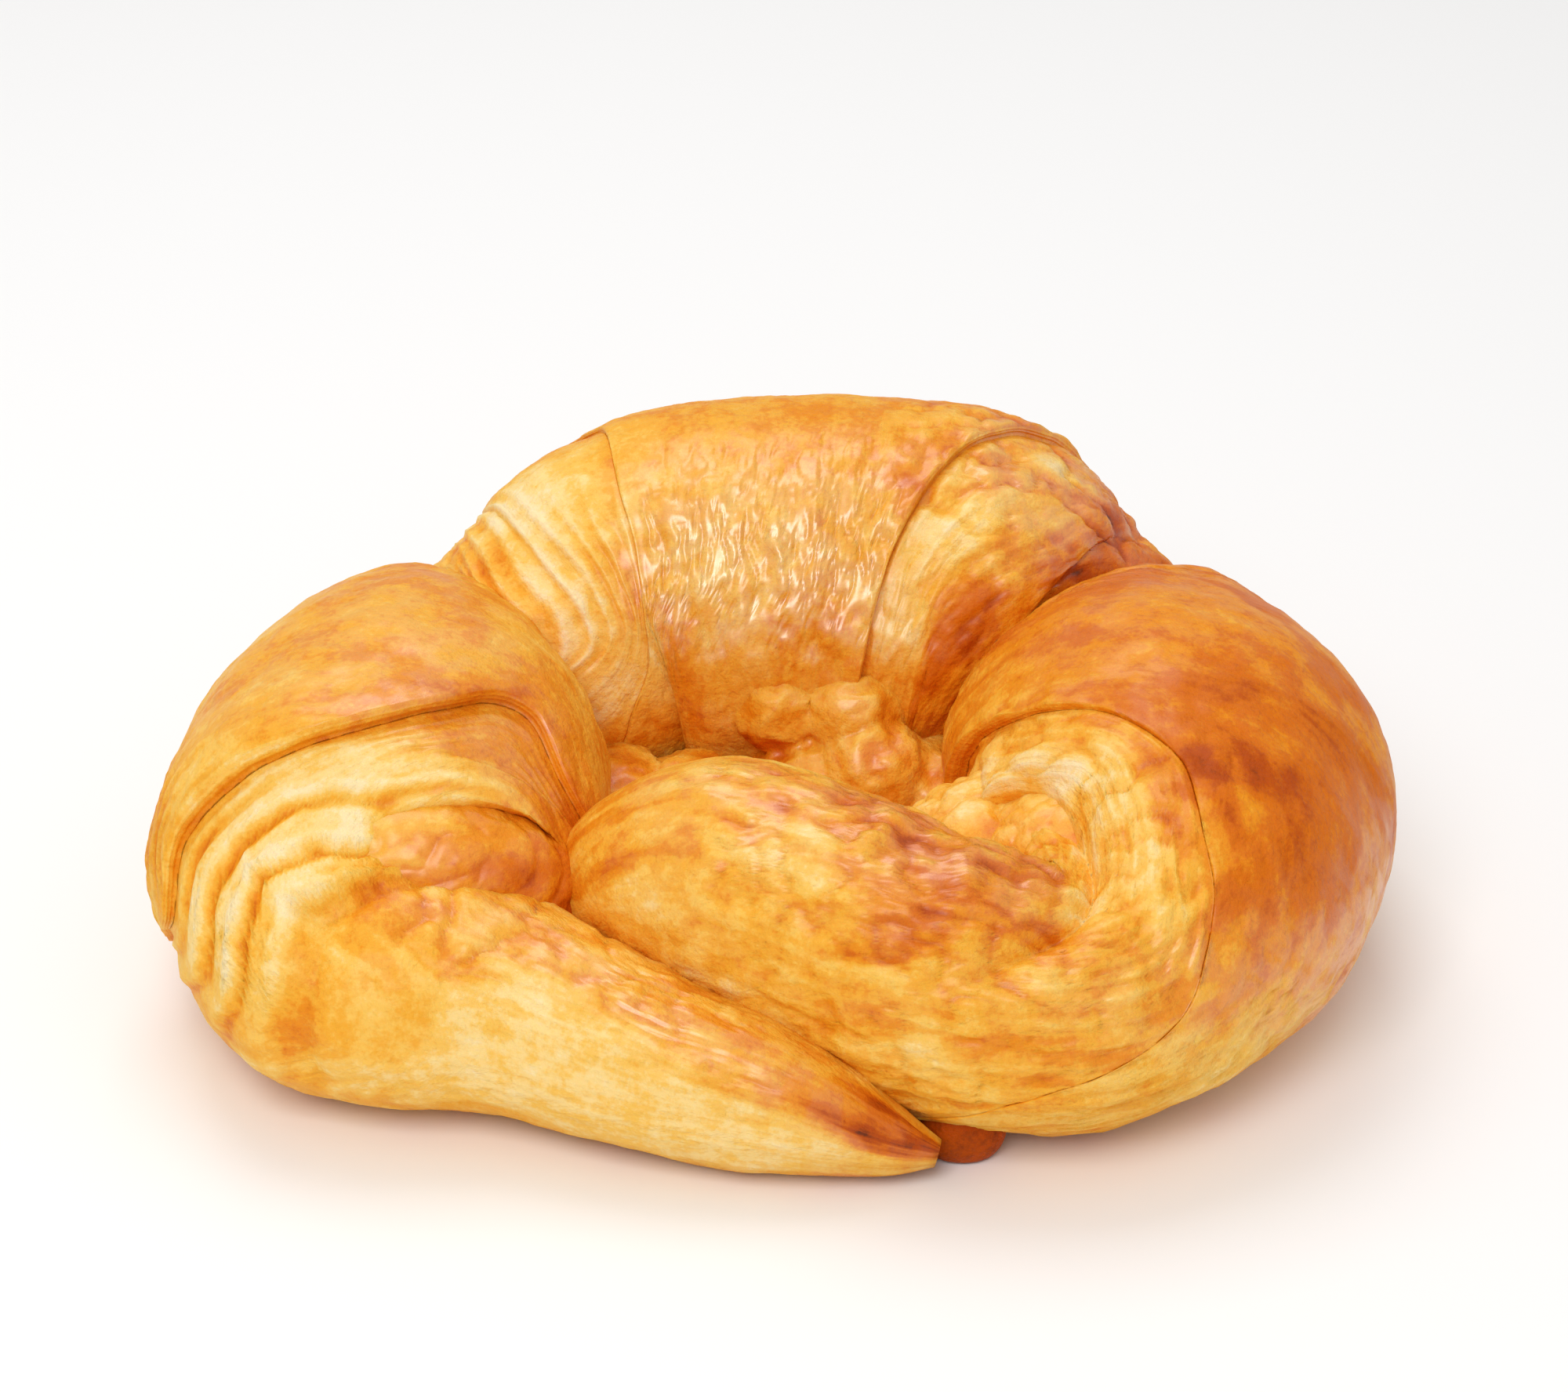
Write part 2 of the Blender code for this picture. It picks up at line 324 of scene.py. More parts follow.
class Roll:
    """The bent roll of dough: its centre line, its sections and where its layers end."""

    RINGS = 900

    def __init__(self, sizes: RollSizes) -> None:
        """Measures the centre line.

        Args:
            sizes: the sizes of the roll.
        """
        self.sizes = sizes
        count = len(sizes.stations)
        place = np.linspace(0, count - 1, 40 * count)
        rows = catmull_rom(np.array(sizes.stations), place)
        run = np.append(0, np.cumsum(np.linalg.norm(np.diff(rows[:, :3], axis=0), axis=1)))
        even = np.linspace(0, run[-1], self.RINGS + 1)
        self.rows = np.column_stack([np.interp(even, run, column) for column in rows.T])
        self.along = even - np.interp(sizes.middle_station, place, run)
        tangent = np.gradient(self.rows[:, :3], axis=0)
        outward = np.cross([0, 0, 1], tangent)
        upward = np.cross(tangent, outward)
        self.outward = outward / np.linalg.norm(outward, axis=1)[:, None]
        self.upward = upward / np.linalg.norm(upward, axis=1)[:, None]

    def end(self, side: Side) -> float:
        """Distance from the middle to that horn's tip."""
        return -self.along[0] if side is Side.LEFT else self.along[-1]

    def edge(self, side: Side, turned: np.ndarray) -> np.ndarray:
        """Distance from the middle at which the dough's edge lies.

        Args:
            side: which edge of the dough.
            turned: angle turned from the tail, in degrees, over all the turns.

        Returns:
            One distance for each turned angle.
        """
        table = self.sizes.left_edge if side is Side.LEFT else self.sizes.right_edge
        angles, reach = np.array(table, float).T
        slope = np.gradient(reach, angles)
        k = np.clip(np.searchsorted(angles, turned) - 1, 0, len(angles) - 2)
        span = angles[k + 1] - angles[k]
        u = np.clip((turned - angles[k]) / span, 0, 1)
        start = (2 * u**3 - 3 * u**2 + 1) * reach[k] + (u**3 - 2 * u**2 + u) * span * slope[k]
        finish = (3 * u**2 - 2 * u**3) * reach[k + 1] + (u**3 - u**2) * span * slope[k + 1]
        return start + finish + np.maximum(turned - angles[-1], 0.0) * slope[-1]

    def lip(self, side: Side, turned: np.ndarray) -> np.ndarray:
        """How much of the full step the dough's edge has, from 0 to 1.

        Args:
            side: which edge of the dough.
            turned: angle turned from the tail, in degrees, over all the turns.

        Returns:
            One share for each turned angle.
        """
        table = self.sizes.left_lip if side is Side.LEFT else self.sizes.right_lip
        return np.interp(turned, *zip(*table))

    def bends(self, along: np.ndarray, angle: np.ndarray) -> np.ndarray:
        """How far the folds and the puffed layers move the surface out.

        Args:
            along: distance along the roll from its middle.
            angle: angle round the roll, in degrees.

        Returns:
            One distance for each point.
        """
        moved = np.zeros(np.broadcast(along, angle).shape)
        for fold in self.sizes.folds:
            turn = turn_from(angle, fold.angle)
            window = np.clip(1 - (turn / fold.spread) ** 2, 0, 1)
            away = np.abs(along - fold.place - fold.lean * turn / 90)
            moved -= fold.depth * window * np.exp(-away / fold.width)
        for place, middle, length, spread, height in self.sizes.puffs:
            turn = turn_from(angle, middle)
            moved += height * np.exp(-(((along - place) / length) ** 2) - (turn / spread) ** 2)
        return moved

    def fade(self, along: np.ndarray) -> np.ndarray:
        """1 along most of the roll, falling to 0 at its tips."""
        left = np.minimum(along - self.along[0], self.along[-1] - along)
        return np.clip(left / self.sizes.tip_taper, 0, 1)

    def point(self, along: np.ndarray, angle: np.ndarray, relief: np.ndarray) -> np.ndarray:
        """Points over the roll's plain section.

        Args:
            along: distance along the roll from its middle.
            angle: angle round the roll, in degrees.
            relief: how far outside the plain section.

        Returns:
            An array with one more axis, of x, y and z.
        """
        along, angle, relief = np.broadcast_arrays(along, angle, relief)
        tables = np.column_stack([self.rows, self.outward, self.upward])
        values = np.stack([np.interp(along, self.along, column) for column in tables.T], axis=-1)
        cosine = np.cos(np.radians(angle))[..., None]
        sine = np.sin(np.radians(angle))[..., None]
        across = values[..., 5:8] * values[..., 3:4] * cosine + values[..., 8:11] * values[..., 4:5] * sine
        size = np.linalg.norm(across, axis=-1, keepdims=True)
        made = values[..., :3] + across * (1 + relief[..., None] / size)
        made[..., 2] = np.maximum(made[..., 2], 0.0)
        return made


# How it is baked, with a painted sheen on the middle skin's front


@dataclass(frozen=True)
class Patch:
    """A place on the crust where something about it is known.

    Attributes:
        along: distance along the roll from its middle.
        angle: angle round the roll, in degrees.
        value: what is known there.
        reach: how far it spreads.
    """

    along: float
    angle: float
    value: float
    reach: float = 9.0


@dataclass(frozen=True)
class CrustMap:
    """Something that varies over the whole crust, known at some places.

    Attributes:
        patches: the places where it is known.
        usual: its value far from all of them.
        usual_weight: how much that counts.
        round_scale: length on the surface for each degree round the roll.
    """

    patches: tuple[Patch, ...]
    usual: float = 0.5
    usual_weight: float = 0.02
    round_scale: float = 0.38

    @classmethod
    def known_at(cls, *rows: tuple[float, ...], usual: float = 0.5) -> "CrustMap":
        """A map from rows of place, angle, value and, where a patch has its own, reach."""
        return cls(tuple(Patch(*row) for row in rows), usual)

    def __call__(self, along: np.ndarray, angle: np.ndarray) -> np.ndarray:
        """The value at each point.

        Args:
            along: distance along the roll from its middle.
            angle: angle round the roll, in degrees.

        Returns:
            One value for each point.
        """
        total = np.full(np.broadcast(along, angle).shape, self.usual * self.usual_weight)
        weight = np.full_like(total, self.usual_weight)
        for patch in self.patches:
            across = turn_from(angle, patch.angle) * self.round_scale
            away = ((along - patch.along) ** 2 + across**2) / patch.reach**2
            share = np.exp(-away)
            total += share * patch.value
            weight += share
        return total / weight


# Browned tone over the crust. The pale patches at (-2, 138), (9, 134) and (-11, 132) are a painted sheen on
# the middle skin's front.
BROWNING_AND_SHEEN = CrustMap.known_at(
    (0, 100, 0.54, 14), (-12, 95, 0.52), (16, 98, 0.57), (-2, 138, 0.30), (9, 134, 0.33),
    (-11, 132, 0.33), (0, 168, 0.58), (-11, 180, 0.54), (-19, 140, 0.50, 6), (-24, 92, 0.08, 6),
    (-28, 150, 0.2, 7), (-25, 120, 0.08, 6), (-37, 84, 0.40), (-43, 150, 0.62), (-55, 100, 0.56),
    (-73, 84, 0.47, 12), (-79, 108, 0.58, 8), (-80, 80, 0.50, 8), (-78, 42, 0.44, 10),
    (-82, 18, 0.47, 9), (-84, 125, 0.58, 6), (-84, 105, 0.57, 5), (-92, 84, 0.03, 6),
    (-91, 110, 0.04, 6), (-94, 55, 0.14, 6), (-95, 32, 0.28, 6), (-99, 5, 0.38, 7), (-97, 132, 0.60, 5),
    (-89, 160, 0.60, 6), (-98, 102, 0.58, 4), (-106, 8, 0.34, 7), (-118, 5, 0.2, 8), (-126, 25, 0.2, 8),
    (-135, 3, 0.2, 8), (-148, 352, 0.24, 8), (-111, 66, 0.45, 6), (-134, 92, 0.46, 6),
    (-149, 62, 0.52, 6), (-156, 48, 0.62, 5), (-164, 45, 0.88, 6), (-117, 102, 0.51, 6),
    (-104, 57, 0.38, 5), (161, 78, 0.52, 7), (149, 45, 0.46, 7), (142, 90, 0.56, 6),
    (135, 100, 0.62, 6), (125, 108, 0.64, 6), (128, 62, 0.68, 6), (137, 66, 0.58, 5),
    (138, 18, 0.46, 7), (130, 12, 0.42, 6), (129, 51, 0.58, 6), (152, 18, 0.42, 7), (72, 93, 0.68, 12),
    (90, 66, 0.79, 9), (95, 62, 0.78, 7), (90, 27, 0.72, 9), (98, 42, 0.74, 7), (107, 18, 0.62, 7),
    (98, 9, 0.65, 8), (117, 351, 0.40, 7), (111, 345, 0.44, 8), (95, 345, 0.50, 9), (120, 336, 0.44, 7),
    (123, 357, 0.46, 6), (84, 146, 0.28, 6), (97, 114, 0.28, 6), (108, 75, 0.34, 6), (114, 33, 0.52, 5),
    (117, 30, 0.54, 5), (21, 130, 0.04, 4), (18, 154, 0.10, 4), (29, 150, 0.75, 6), (31, 172, 0.70, 7),
    (32, 99, 0.86, 5), (37, 90, 0.84, 6), (25, 108, 0.30, 4), (27, 88, 0.50, 4), (66, 132, 0.60, 8),
    (57, 111, 0.66, 9), (73, 144, 0.56, 7), (50, 60, 0.70, 12), (-50, 60, 0.50, 12), (0, 40, 0.50, 14),
)

RIBBING = CrustMap.known_at(
    (-97, 15, 0.7, 10), (-97, 40, 0.6, 8), (-100, 350, 0.7, 10), (-92, 80, 0.6, 6), (-92, 110, 0.5, 7),
    (-99, 95, 1.4, 6), (-112, 60, 0.4, 9), (-125, 85, 0.5, 9), (-130, 10, 0.1, 12), (-28, 120, 1.1, 8),
    (-38, 90, 1.5, 8), (102, 100, 0.7, 8), (112, 55, 0.9, 8), (85, 142, 0.5, 7), (135, 25, 0.25, 9),
    (124, 5, 0.8, 8), (150, 40, 0.25, 9), (116, 345, 0.7, 9), (138, 85, 0.2, 7), (24, 110, 0.6, 6),
    (32, 120, 0.6, 8), (75, 80, 0.1, 14), (-72, 80, 0.15, 12), (0, 100, 0.0, 16),
    usual=0.3,
)

BUMPING = CrustMap.known_at(
    (0, 100, 0.05, 14), (0, 140, 0.35, 10), (0, 175, 0.3, 10), (-26, 110, 0.35, 8), (-40, 90, 0.5, 8),
    (-72, 80, 0.12, 12), (-92, 85, 0.35, 7), (-99, 60, 0.25, 7), (-97, 25, 0.2, 9), (-104, 90, 0.5, 7),
    (-112, 75, 1.0, 7), (-125, 90, 0.7, 9), (-128, 15, 0.2, 12), (-150, 60, 0.4, 9), (24, 110, 1.3, 7),
    (30, 85, 1.2, 7), (32, 130, 0.5, 7), (75, 80, 0.1, 14), (92, 40, 0.1, 12), (86, 145, 1.1, 7),
    (97, 115, 1.2, 7), (104, 85, 1.2, 8), (112, 50, 0.9, 8), (116, 345, 0.5, 9), (130, 80, 1.0, 9),
    (145, 80, 1.1, 9), (135, 40, 0.9, 9), (150, 30, 0.8, 9), (128, 10, 0.6, 9),
    usual=0.3,
)

MOTTLING = CrustMap.known_at(
    (0, 95, 0.05, 14), (0, 140, 0.08, 10), (0, 170, 0.14, 9), (-26, 110, 0.14, 8), (-40, 90, 0.15, 8),
    (-72, 80, 0.09, 12), (-92, 85, 0.10, 7), (-97, 25, 0.13, 9), (-99, 100, 0.14, 7),
    (-112, 60, 0.16, 9), (-128, 80, 0.13, 9), (-128, 10, 0.08, 12), (-150, 50, 0.12, 9),
    (24, 100, 0.20, 7), (32, 130, 0.16, 7), (75, 80, 0.08, 14), (95, 35, 0.09, 12), (97, 115, 0.18, 8),
    (104, 75, 0.16, 8), (116, 0, 0.16, 9), (130, 80, 0.12, 9), (145, 80, 0.20, 9), (138, 30, 0.18, 10),
    (155, 50, 0.18, 9),
    usual=0.12,
)

GLAZE = CrustMap.known_at(
    (0, 138, 1.0, 11), (-10, 130, 0.9, 6), (10, 130, 0.9, 6), (0, 90, 0.05, 12), (-78, 100, 0.6, 8),
    (-72, 80, 0.35, 10), (-84, 110, 0.6, 6), (-92, 85, 0.02, 7), (-97, 30, 0.05, 10),
    (-125, 10, 0.08, 12), (-134, 85, 0.6, 7), (-150, 60, 0.5, 7), (-117, 95, 0.5, 7),
    (-163, 45, 0.5, 6), (135, 100, 0.6, 9), (125, 108, 0.5, 7), (150, 80, 0.5, 7), (138, 20, 0.15, 9),
    (75, 90, 0.2, 12), (92, 50, 0.05, 12), (95, 10, 1.0, 9), (106, 15, 0.6, 7), (117, 350, 0.1, 8),
    (104, 90, 0.2, 7), (84, 145, 0.2, 6), (20, 135, 0.1, 5), (29, 150, 0.25, 6), (34, 96, 1.0, 7),
    (-26, 110, 0.05, 8), (-40, 90, 0.2, 7), (60, 120, 0.6, 8),
    usual=0.3,
)


# Skins of dough


@dataclass(frozen=True)
class SkinDetail:
    """Fine relief of the skins.

    Attributes:
        rows: rows of faces across one layer of a horn.
        middle_rows: rows of faces across the middle skin.
        fine_step: degrees between columns where the roll shows.
        coarse_step: degrees between columns where it lies on the tray.
        overhang: how far a lip stands out over the next layer.
        tuck: how far the crevice reaches in below it.
        rib_spacing: distance between the fine layers of opened dough.
        rib_height: height of those layers.
        wrinkle: height of the fine wrinkles of the browned skin.
        bump: height of the puffed bumps.
        swell: height of the broad unevenness of the dough.
        dent: height of its smaller dents.
        fold_line: where the left arm comes out from under the layers of its lobe: angle, distance.
        cords: how many thick layers lie between the lobe's lip and that fold.
        cord_height: height of those layers.
        rib_mean: mean height of a fine layer's profile, which stays on the surface.
        grain_radius: radius by which angles become lengths along a horn's layers.
        middle_radius: the same for the middle skin.
        grain_turns: distances between which the grain turns from round the roll to along it.
        turn_shift: how far the patterns of one turn lie from those of the next.
        edge_zone: how far in from its lips the middle skin counts as a layer's edge.
        tray: middle and half width of the angles that lie on the tray.
    """

    rows: int = 168
    middle_rows: int = 190
    fine_step: float = 1.35
    coarse_step: float = 5.0
    overhang: float = 0.45
    tuck: float = -0.35
    rib_spacing: float = 2.5
    rib_height: float = 0.42
    wrinkle: float = 0.34
    bump: float = 0.75
    swell: float = 0.7
    dent: float = 0.3
    fold_line: tuple[tuple[float, float], ...] = (
        (-30, 104), (0, 103), (24, 103), (42, 102.2), (51, 101.4), (72, 103), (96, 108), (120, 109.5),
        (150, 110),
    )
    cords: float = 4.2
    cord_height: float = 1.5
    rib_mean: float = 0.42
    grain_radius: float = 22.0
    middle_radius: float = 24.0
    grain_turns: tuple[float, float] = (106.0, 118.0)
    turn_shift: float = 31.0
    edge_zone: float = 40.0
    tray: tuple[float, float] = (272.0, 62.0)


@dataclass
class Relief:
    """Fine relief of a skin, and what it is made of, as arrays of rows by columns.

    Attributes:
        height: all of it together.
        ribs: the fine layers, from 0 in their hollows to 1 on their crests, times how much they show.
        bumps: the puffed bumps, in the same way.
    """

    height: np.ndarray
    ribs: np.ndarray
    bumps: np.ndarray


@dataclass
class Sheet:
    """Everything known about the points of one skin, as arrays of rows by columns.

    Attributes:
        along: distance along the roll from its middle.
        angle: angle round the roll, in degrees.
        lift: relief over the plain section.
        share: 0 where a layer comes out of its crevice, 1 at its edge.
        lip: 0 on the open layer, 1 at the bottom of the lip's undercut.
        edge: strength of the nearest lip.
        flow: coordinates that follow the layers: across them, along them, and which turn.
    """

    along: np.ndarray
    angle: np.ndarray
    lift: np.ndarray
    share: np.ndarray
    lip: np.ndarray
    edge: np.ndarray
    flow: np.ndarray


class DoughSkin:
    """One skin of dough, made as a grid of faces that follows its layers."""

    LIP_ROWS = 12

    def __init__(self, name: str, roll: Roll, detail: SkinDetail, bake: CrustMap, seed: int) -> None:
        """Keeps what the skin is made from.

        Args:
            name: the object's name.
            roll: the roll it wraps.
            detail: its fine relief.
            bake: its browned tone, which also holds a painted sheen.
            seed: for its noise.
        """
        self.name = name
        self.roll = roll
        self.detail = detail
        self.bake = bake
        self.noise = LatticeNoise(seed)
        self.shared = LatticeNoise(5)

    def columns(self, start: float, stop: float) -> np.ndarray:
        """Turned angles of the columns, closer together where the roll shows.

        Args:
            start: first turned angle.
            stop: last turned angle.

        Returns:
            The angles, the same in each full turn.
        """
        tail = self.roll.sizes.tail_angle
        tray, tray_half = self.detail.tray
        one, at = [], 0.0
        while at < 360.0 - 0.5 * self.detail.fine_step:
            one.append(at)
            hidden = abs(float(turn_from(np.array(tail - at), tray))) < tray_half
            at += self.detail.coarse_step if hidden else self.detail.fine_step
        turns = [angle + 360.0 * turn for turn in range(5) for angle in one]
        return np.array([angle for angle in turns if start - 1e-6 <= angle < stop] + [stop])

    def lip_rows(
        self, far: np.ndarray, turned: np.ndarray, side: Side
    ) -> tuple[np.ndarray, np.ndarray, np.ndarray]:
        """Rows of points round a lip, from the layer's edge down to the crevice.

        Args:
            far: where the layer ends, for each column.
            turned: turned angle of each column.
            side: which horn it faces.

        Returns:
            Distances from the middle, how far each row lies below the layer's edge, and the rows' shares.
        """
        share = np.linspace(0, 1, self.LIP_ROWS + 1)[1:, None]
        arc = np.radians(turned)[None, :] * self.detail.grain_radius
        ragged = self.shared.layered(arc / 5.0, side.value * 3.0 + 0 * arc, 0.5, 3)
        fine = self.shared.layered(arc / 1.6, side.value * 9.0 + 0 * arc, 4.5, 2)
        strength = self.roll.lip(side, turned)[None, :]
        out = self.detail.overhang * strength * np.clip(1.0 + 0.9 * ragged + 0.35 * fine, 0.15, 2.2)
        bulge = np.sin(np.pi * np.minimum(share * 1.25, 1.0)) ** 0.7
        leaves = 0.13 * strength * np.cos(2 * np.pi * 3.5 * share + 3 * ragged) * bulge
        back = self.detail.tuck * strength * smooth_rise(share, 0.72, 1.0)
        depth = share * strength * self.roll.sizes.step
        return far[None, :] + out * bulge + leaves - back, depth + 0 * arc, share + 0 * arc

    def base_lift(self, share: np.ndarray, step: np.ndarray, next_step: np.ndarray) -> np.ndarray:
        """Relief of a layer from its crevice to its edge.

        Args:
            share: how far across the layer, from 0 to 1.
            step: strength of the lip above it.
            next_step: strength of its own lip.

        Returns:
            One height for each point.
        """
        sizes = self.roll.sizes
        return 0.5 * sizes.step * (np.clip(share, 0, 1) ** sizes.swell * (step + next_step) - step)

    def relief(self, sheet: Sheet) -> Relief:
        """Fine relief over the whole skin.

        Args:
            sheet: where its points lie.

        Returns:
            Height to add at each point, and its parts.
        """
        detail = self.detail
        plain = self.roll.point(sheet.along, sheet.angle, sheet.lift)
        x, y, z = np.moveaxis(plain, -1, 0)
        across, arc, turn = np.moveaxis(sheet.flow, -1, 0)
        open_face = (1 - smooth_rise(sheet.lip, 0.0, 0.15)) * smooth_rise(sheet.share * 75.0, 0.0, 1.2)
        lipless = 1 - np.clip(sheet.edge * 4.0, 0.0, 1.0)
        open_face = open_face * (1 - smooth_rise(sheet.share, 0.93, 1.0) * lipless)
        broad = self.shared.layered(x / 15.0, y / 15.0, z / 15.0, 2) * detail.swell
        dents = self.shared.layered(x / 5.0 + 9.0, y / 5.0, z / 5.0, 2) * detail.dent

        length = self.lengthwise(sheet)
        ribs = self.rib(across, arc, turn) * (1 - length)
        ribs = ribs + self.rib(arc * 0.75, sheet.along, turn + 3.0, 4.5) * length
        strength = (0.85 + 0.9 * self.noise.layered(across / 5.0, arc / 11.0, turn + 9.0, 2)).clip(0.0, 1.7)
        strength = strength * RIBBING(sheet.along, sheet.angle) * open_face

        puffs = puffed(self.noise.layered(x / 4.2, y / 4.2, z / 4.2 + turn, 2)) - 0.5
        bumpy = BUMPING(sheet.along, sheet.angle) * open_face

        warp = 1.4 * self.noise.layered(across / 6.0, arc / 6.0, turn + 60.0, 2)
        skin = self.grain(sheet, 1.4, 3.0, 0.0, warp=warp)
        tilt = self.grain(sheet, 2.6, 4.5, 8.0, 2, warp=warp)
        creases = (1 - np.abs(skin) * 3.6).clip(0, 1) ** 1.3
        wrinkles = detail.wrinkle * (1.1 * tilt - 0.8 * creases) * self.wrinkled(sheet) * open_face
        fine = 0.06 * self.noise.layered(x / 0.9, y / 0.9, z / 0.9, 2) * open_face
        height = broad + dents + wrinkles + fine
        ribs = ribs - detail.rib_mean
        height = height + detail.rib_height * strength * ribs + detail.bump * bumpy * puffs
        return Relief(height, ribs * strength, puffs * bumpy)

    def rib(self, across: np.ndarray, down: np.ndarray, turn: np.ndarray, bend: float = 1.9) -> np.ndarray:
        """The steps of the dough's fine layers.

        Args:
            across: coordinate across them.
            down: coordinate along them.
            turn: which turn of the dough.
            bend: how far they wander.

        Returns:
            0 in the hollows and 1 on the crests.
        """
        moved = bend * self.noise.layered(across / 8.0, down / 18.0, turn, 2)
        phase = (across + moved) / self.detail.rib_spacing
        saw = phase - np.floor(phase)
        return np.where(saw < 0.75, saw / 0.75, (1 - saw) / 0.25) ** 1.4

    def lengthwise(self, sheet: Sheet) -> np.ndarray:
        """1 where the dough's grain runs along the roll, and 0 where it runs round it."""
        return smooth_rise(np.abs(sheet.along), *self.detail.grain_turns)

    def grain(
        self,
        sheet: Sheet,
        narrow: float,
        long: float,
        seed: float,
        octaves: int = 3,
        warp: np.ndarray | float = 0.0,
    ) -> np.ndarray:
        """Noise that is stretched along the dough's grain.

        Args:
            sheet: where the points lie.
            narrow: its size across the grain.
            long: its size along the grain.
            seed: which pattern.
            octaves: how many sizes.
            warp: how far it is pushed aside at each point.

        Returns:
            One value for each point, from -1 to 1.
        """
        across, arc, turn = np.moveaxis(sheet.flow, -1, 0)
        length = self.lengthwise(sheet)
        which = turn + seed
        down = (sheet.along - warp) / long
        round_it = self.noise.layered((across + warp) / narrow, (arc - warp) / long, which, octaves)
        along_it = self.noise.layered((arc + warp) / narrow, down, which + 0.5, octaves)
        return round_it * (1 - length) + along_it * length

    def opened(self, sheet: Sheet) -> np.ndarray:
        """How much the dough's fine layers show, from 0 to 1."""
        pale = 1 - smooth_rise(self.bake(sheet.along, sheet.angle), 0.2, 0.5)
        return np.clip(0.12 + pale, 0, 1)

    def wrinkled(self, sheet: Sheet) -> np.ndarray:
        """How wrinkled the browned skin is, from 0 to 1."""
        return np.full(sheet.along.shape, 0.5)

    def browning_and_shading(self, sheet: Sheet, relief: Relief) -> np.ndarray:
        """Browned tone of each point, with painted shade under the lips, in the crevices and in the hollows
        of the relief, and painted light on its crests.

        Args:
            sheet: where the points lie.
            relief: their fine relief.

        Returns:
            One value for each point, from 0 to 1.
        """
        across, arc, turn = np.moveaxis(sheet.flow, -1, 0)
        warp_along = 3.0 * self.noise.layered(across / 9.0, arc / 9.0, turn + 20.0, 3)
        warp_angle = 8.0 * self.noise.layered(across / 9.0, arc / 9.0, turn + 30.0, 3)
        bake = self.bake(sheet.along + warp_along, sheet.angle + warp_angle)
        pale = 1 - smooth_rise(bake, 0.25, 0.55)
        streaks = self.grain(sheet, 1.7, 14.0, 40.0)
        patches = self.grain(sheet, 4.0, 8.0, 50.0, warp=2.0 * warp_along)
        mottling = MOTTLING(sheet.along, sheet.angle)
        limit = np.maximum(bake + 0.1, 0.76)
        bake = np.minimum(bake + 0.5 * mottling * streaks + mottling * np.tanh(2.6 * patches), limit)
        # Painted light and shade: crests of the fine layers and bumps paler, their hollows and grooves
        # browner.
        bake = bake - (0.12 + 0.16 * pale) * relief.ribs - 0.22 * relief.bumps
        rim = np.exp(-(((sheet.share - 1) * 20.0) ** 2)) * (sheet.lip < 0.25)
        strong = np.clip(2.0 * sheet.edge - 0.25, 0.0, 1.0)
        # Painted shade: dark orange under each lip, and in the crevice where the next layer starts.
        inside = smooth_rise(sheet.lip, 0.15, 0.7) * strong
        deep = np.exp(-sheet.share * 80.0) * strong
        bake = bake + 0.08 * rim * strong
        bake = bake * (1 - inside) + inside * 0.62
        return np.clip(bake * (1 - deep * 0.6) + deep * 0.6 * 0.6, 0.0, 1.0)

    def sheet(self) -> Sheet:
        """The points of the skin."""
        raise NotImplementedError

    def build(self) -> bpy.types.Object:
        """Makes the skin as an object.

        Returns:
            The mesh object, in metres, where the roll's own points lie.
        """
        sheet = self.sheet()
        relief = self.relief(sheet)
        fade = self.roll.fade(sheet.along)
        lift = (sheet.lift + relief.height + self.roll.bends(sheet.along, sheet.angle)) * fade
        points = self.roll.point(sheet.along, sheet.angle, lift)
        rows, columns = sheet.along.shape
        bpy.ops.object.select_all(action="DESELECT")
        bpy.ops.mesh.primitive_grid_add(x_subdivisions=columns - 1, y_subdivisions=rows - 1, size=2.0)
        obj = take_new(self.name)
        flat = places(obj)
        column = np.rint((flat[:, 0] + 1) / 2 * (columns - 1)).astype(int)
        row = np.rint((flat[:, 1] + 1) / 2 * (rows - 1)).astype(int)
        move_to(obj, points[row, column] * MM)
        write_crust(
            obj,
            sheet.flow[row, column],
            bake=self.browning_and_shading(sheet, relief)[row, column],
            opened=self.opened(sheet)[row, column],
            lengthwise=self.lengthwise(sheet)[row, column],
            glaze=GLAZE(sheet.along, sheet.angle)[row, column],
        )
        self.clean(obj)
        log.info("%s: %d faces", self.name, len(obj.data.polygons))
        return obj

    @staticmethod
    def clean(obj: bpy.types.Object) -> None:
        """Merges points that meet, and turns the faces outwards.

        Args:
            obj: the skin.
        """
        bpy.ops.object.mode_set(mode="EDIT")
        bpy.ops.mesh.select_all(action="SELECT")
        bpy.ops.mesh.remove_doubles(threshold=0.004 * MM)
        bpy.ops.mesh.select_all(action="SELECT")
        bpy.ops.mesh.flip_normals()
        bpy.ops.object.mode_set(mode="OBJECT")
        bpy.ops.object.shade_smooth()


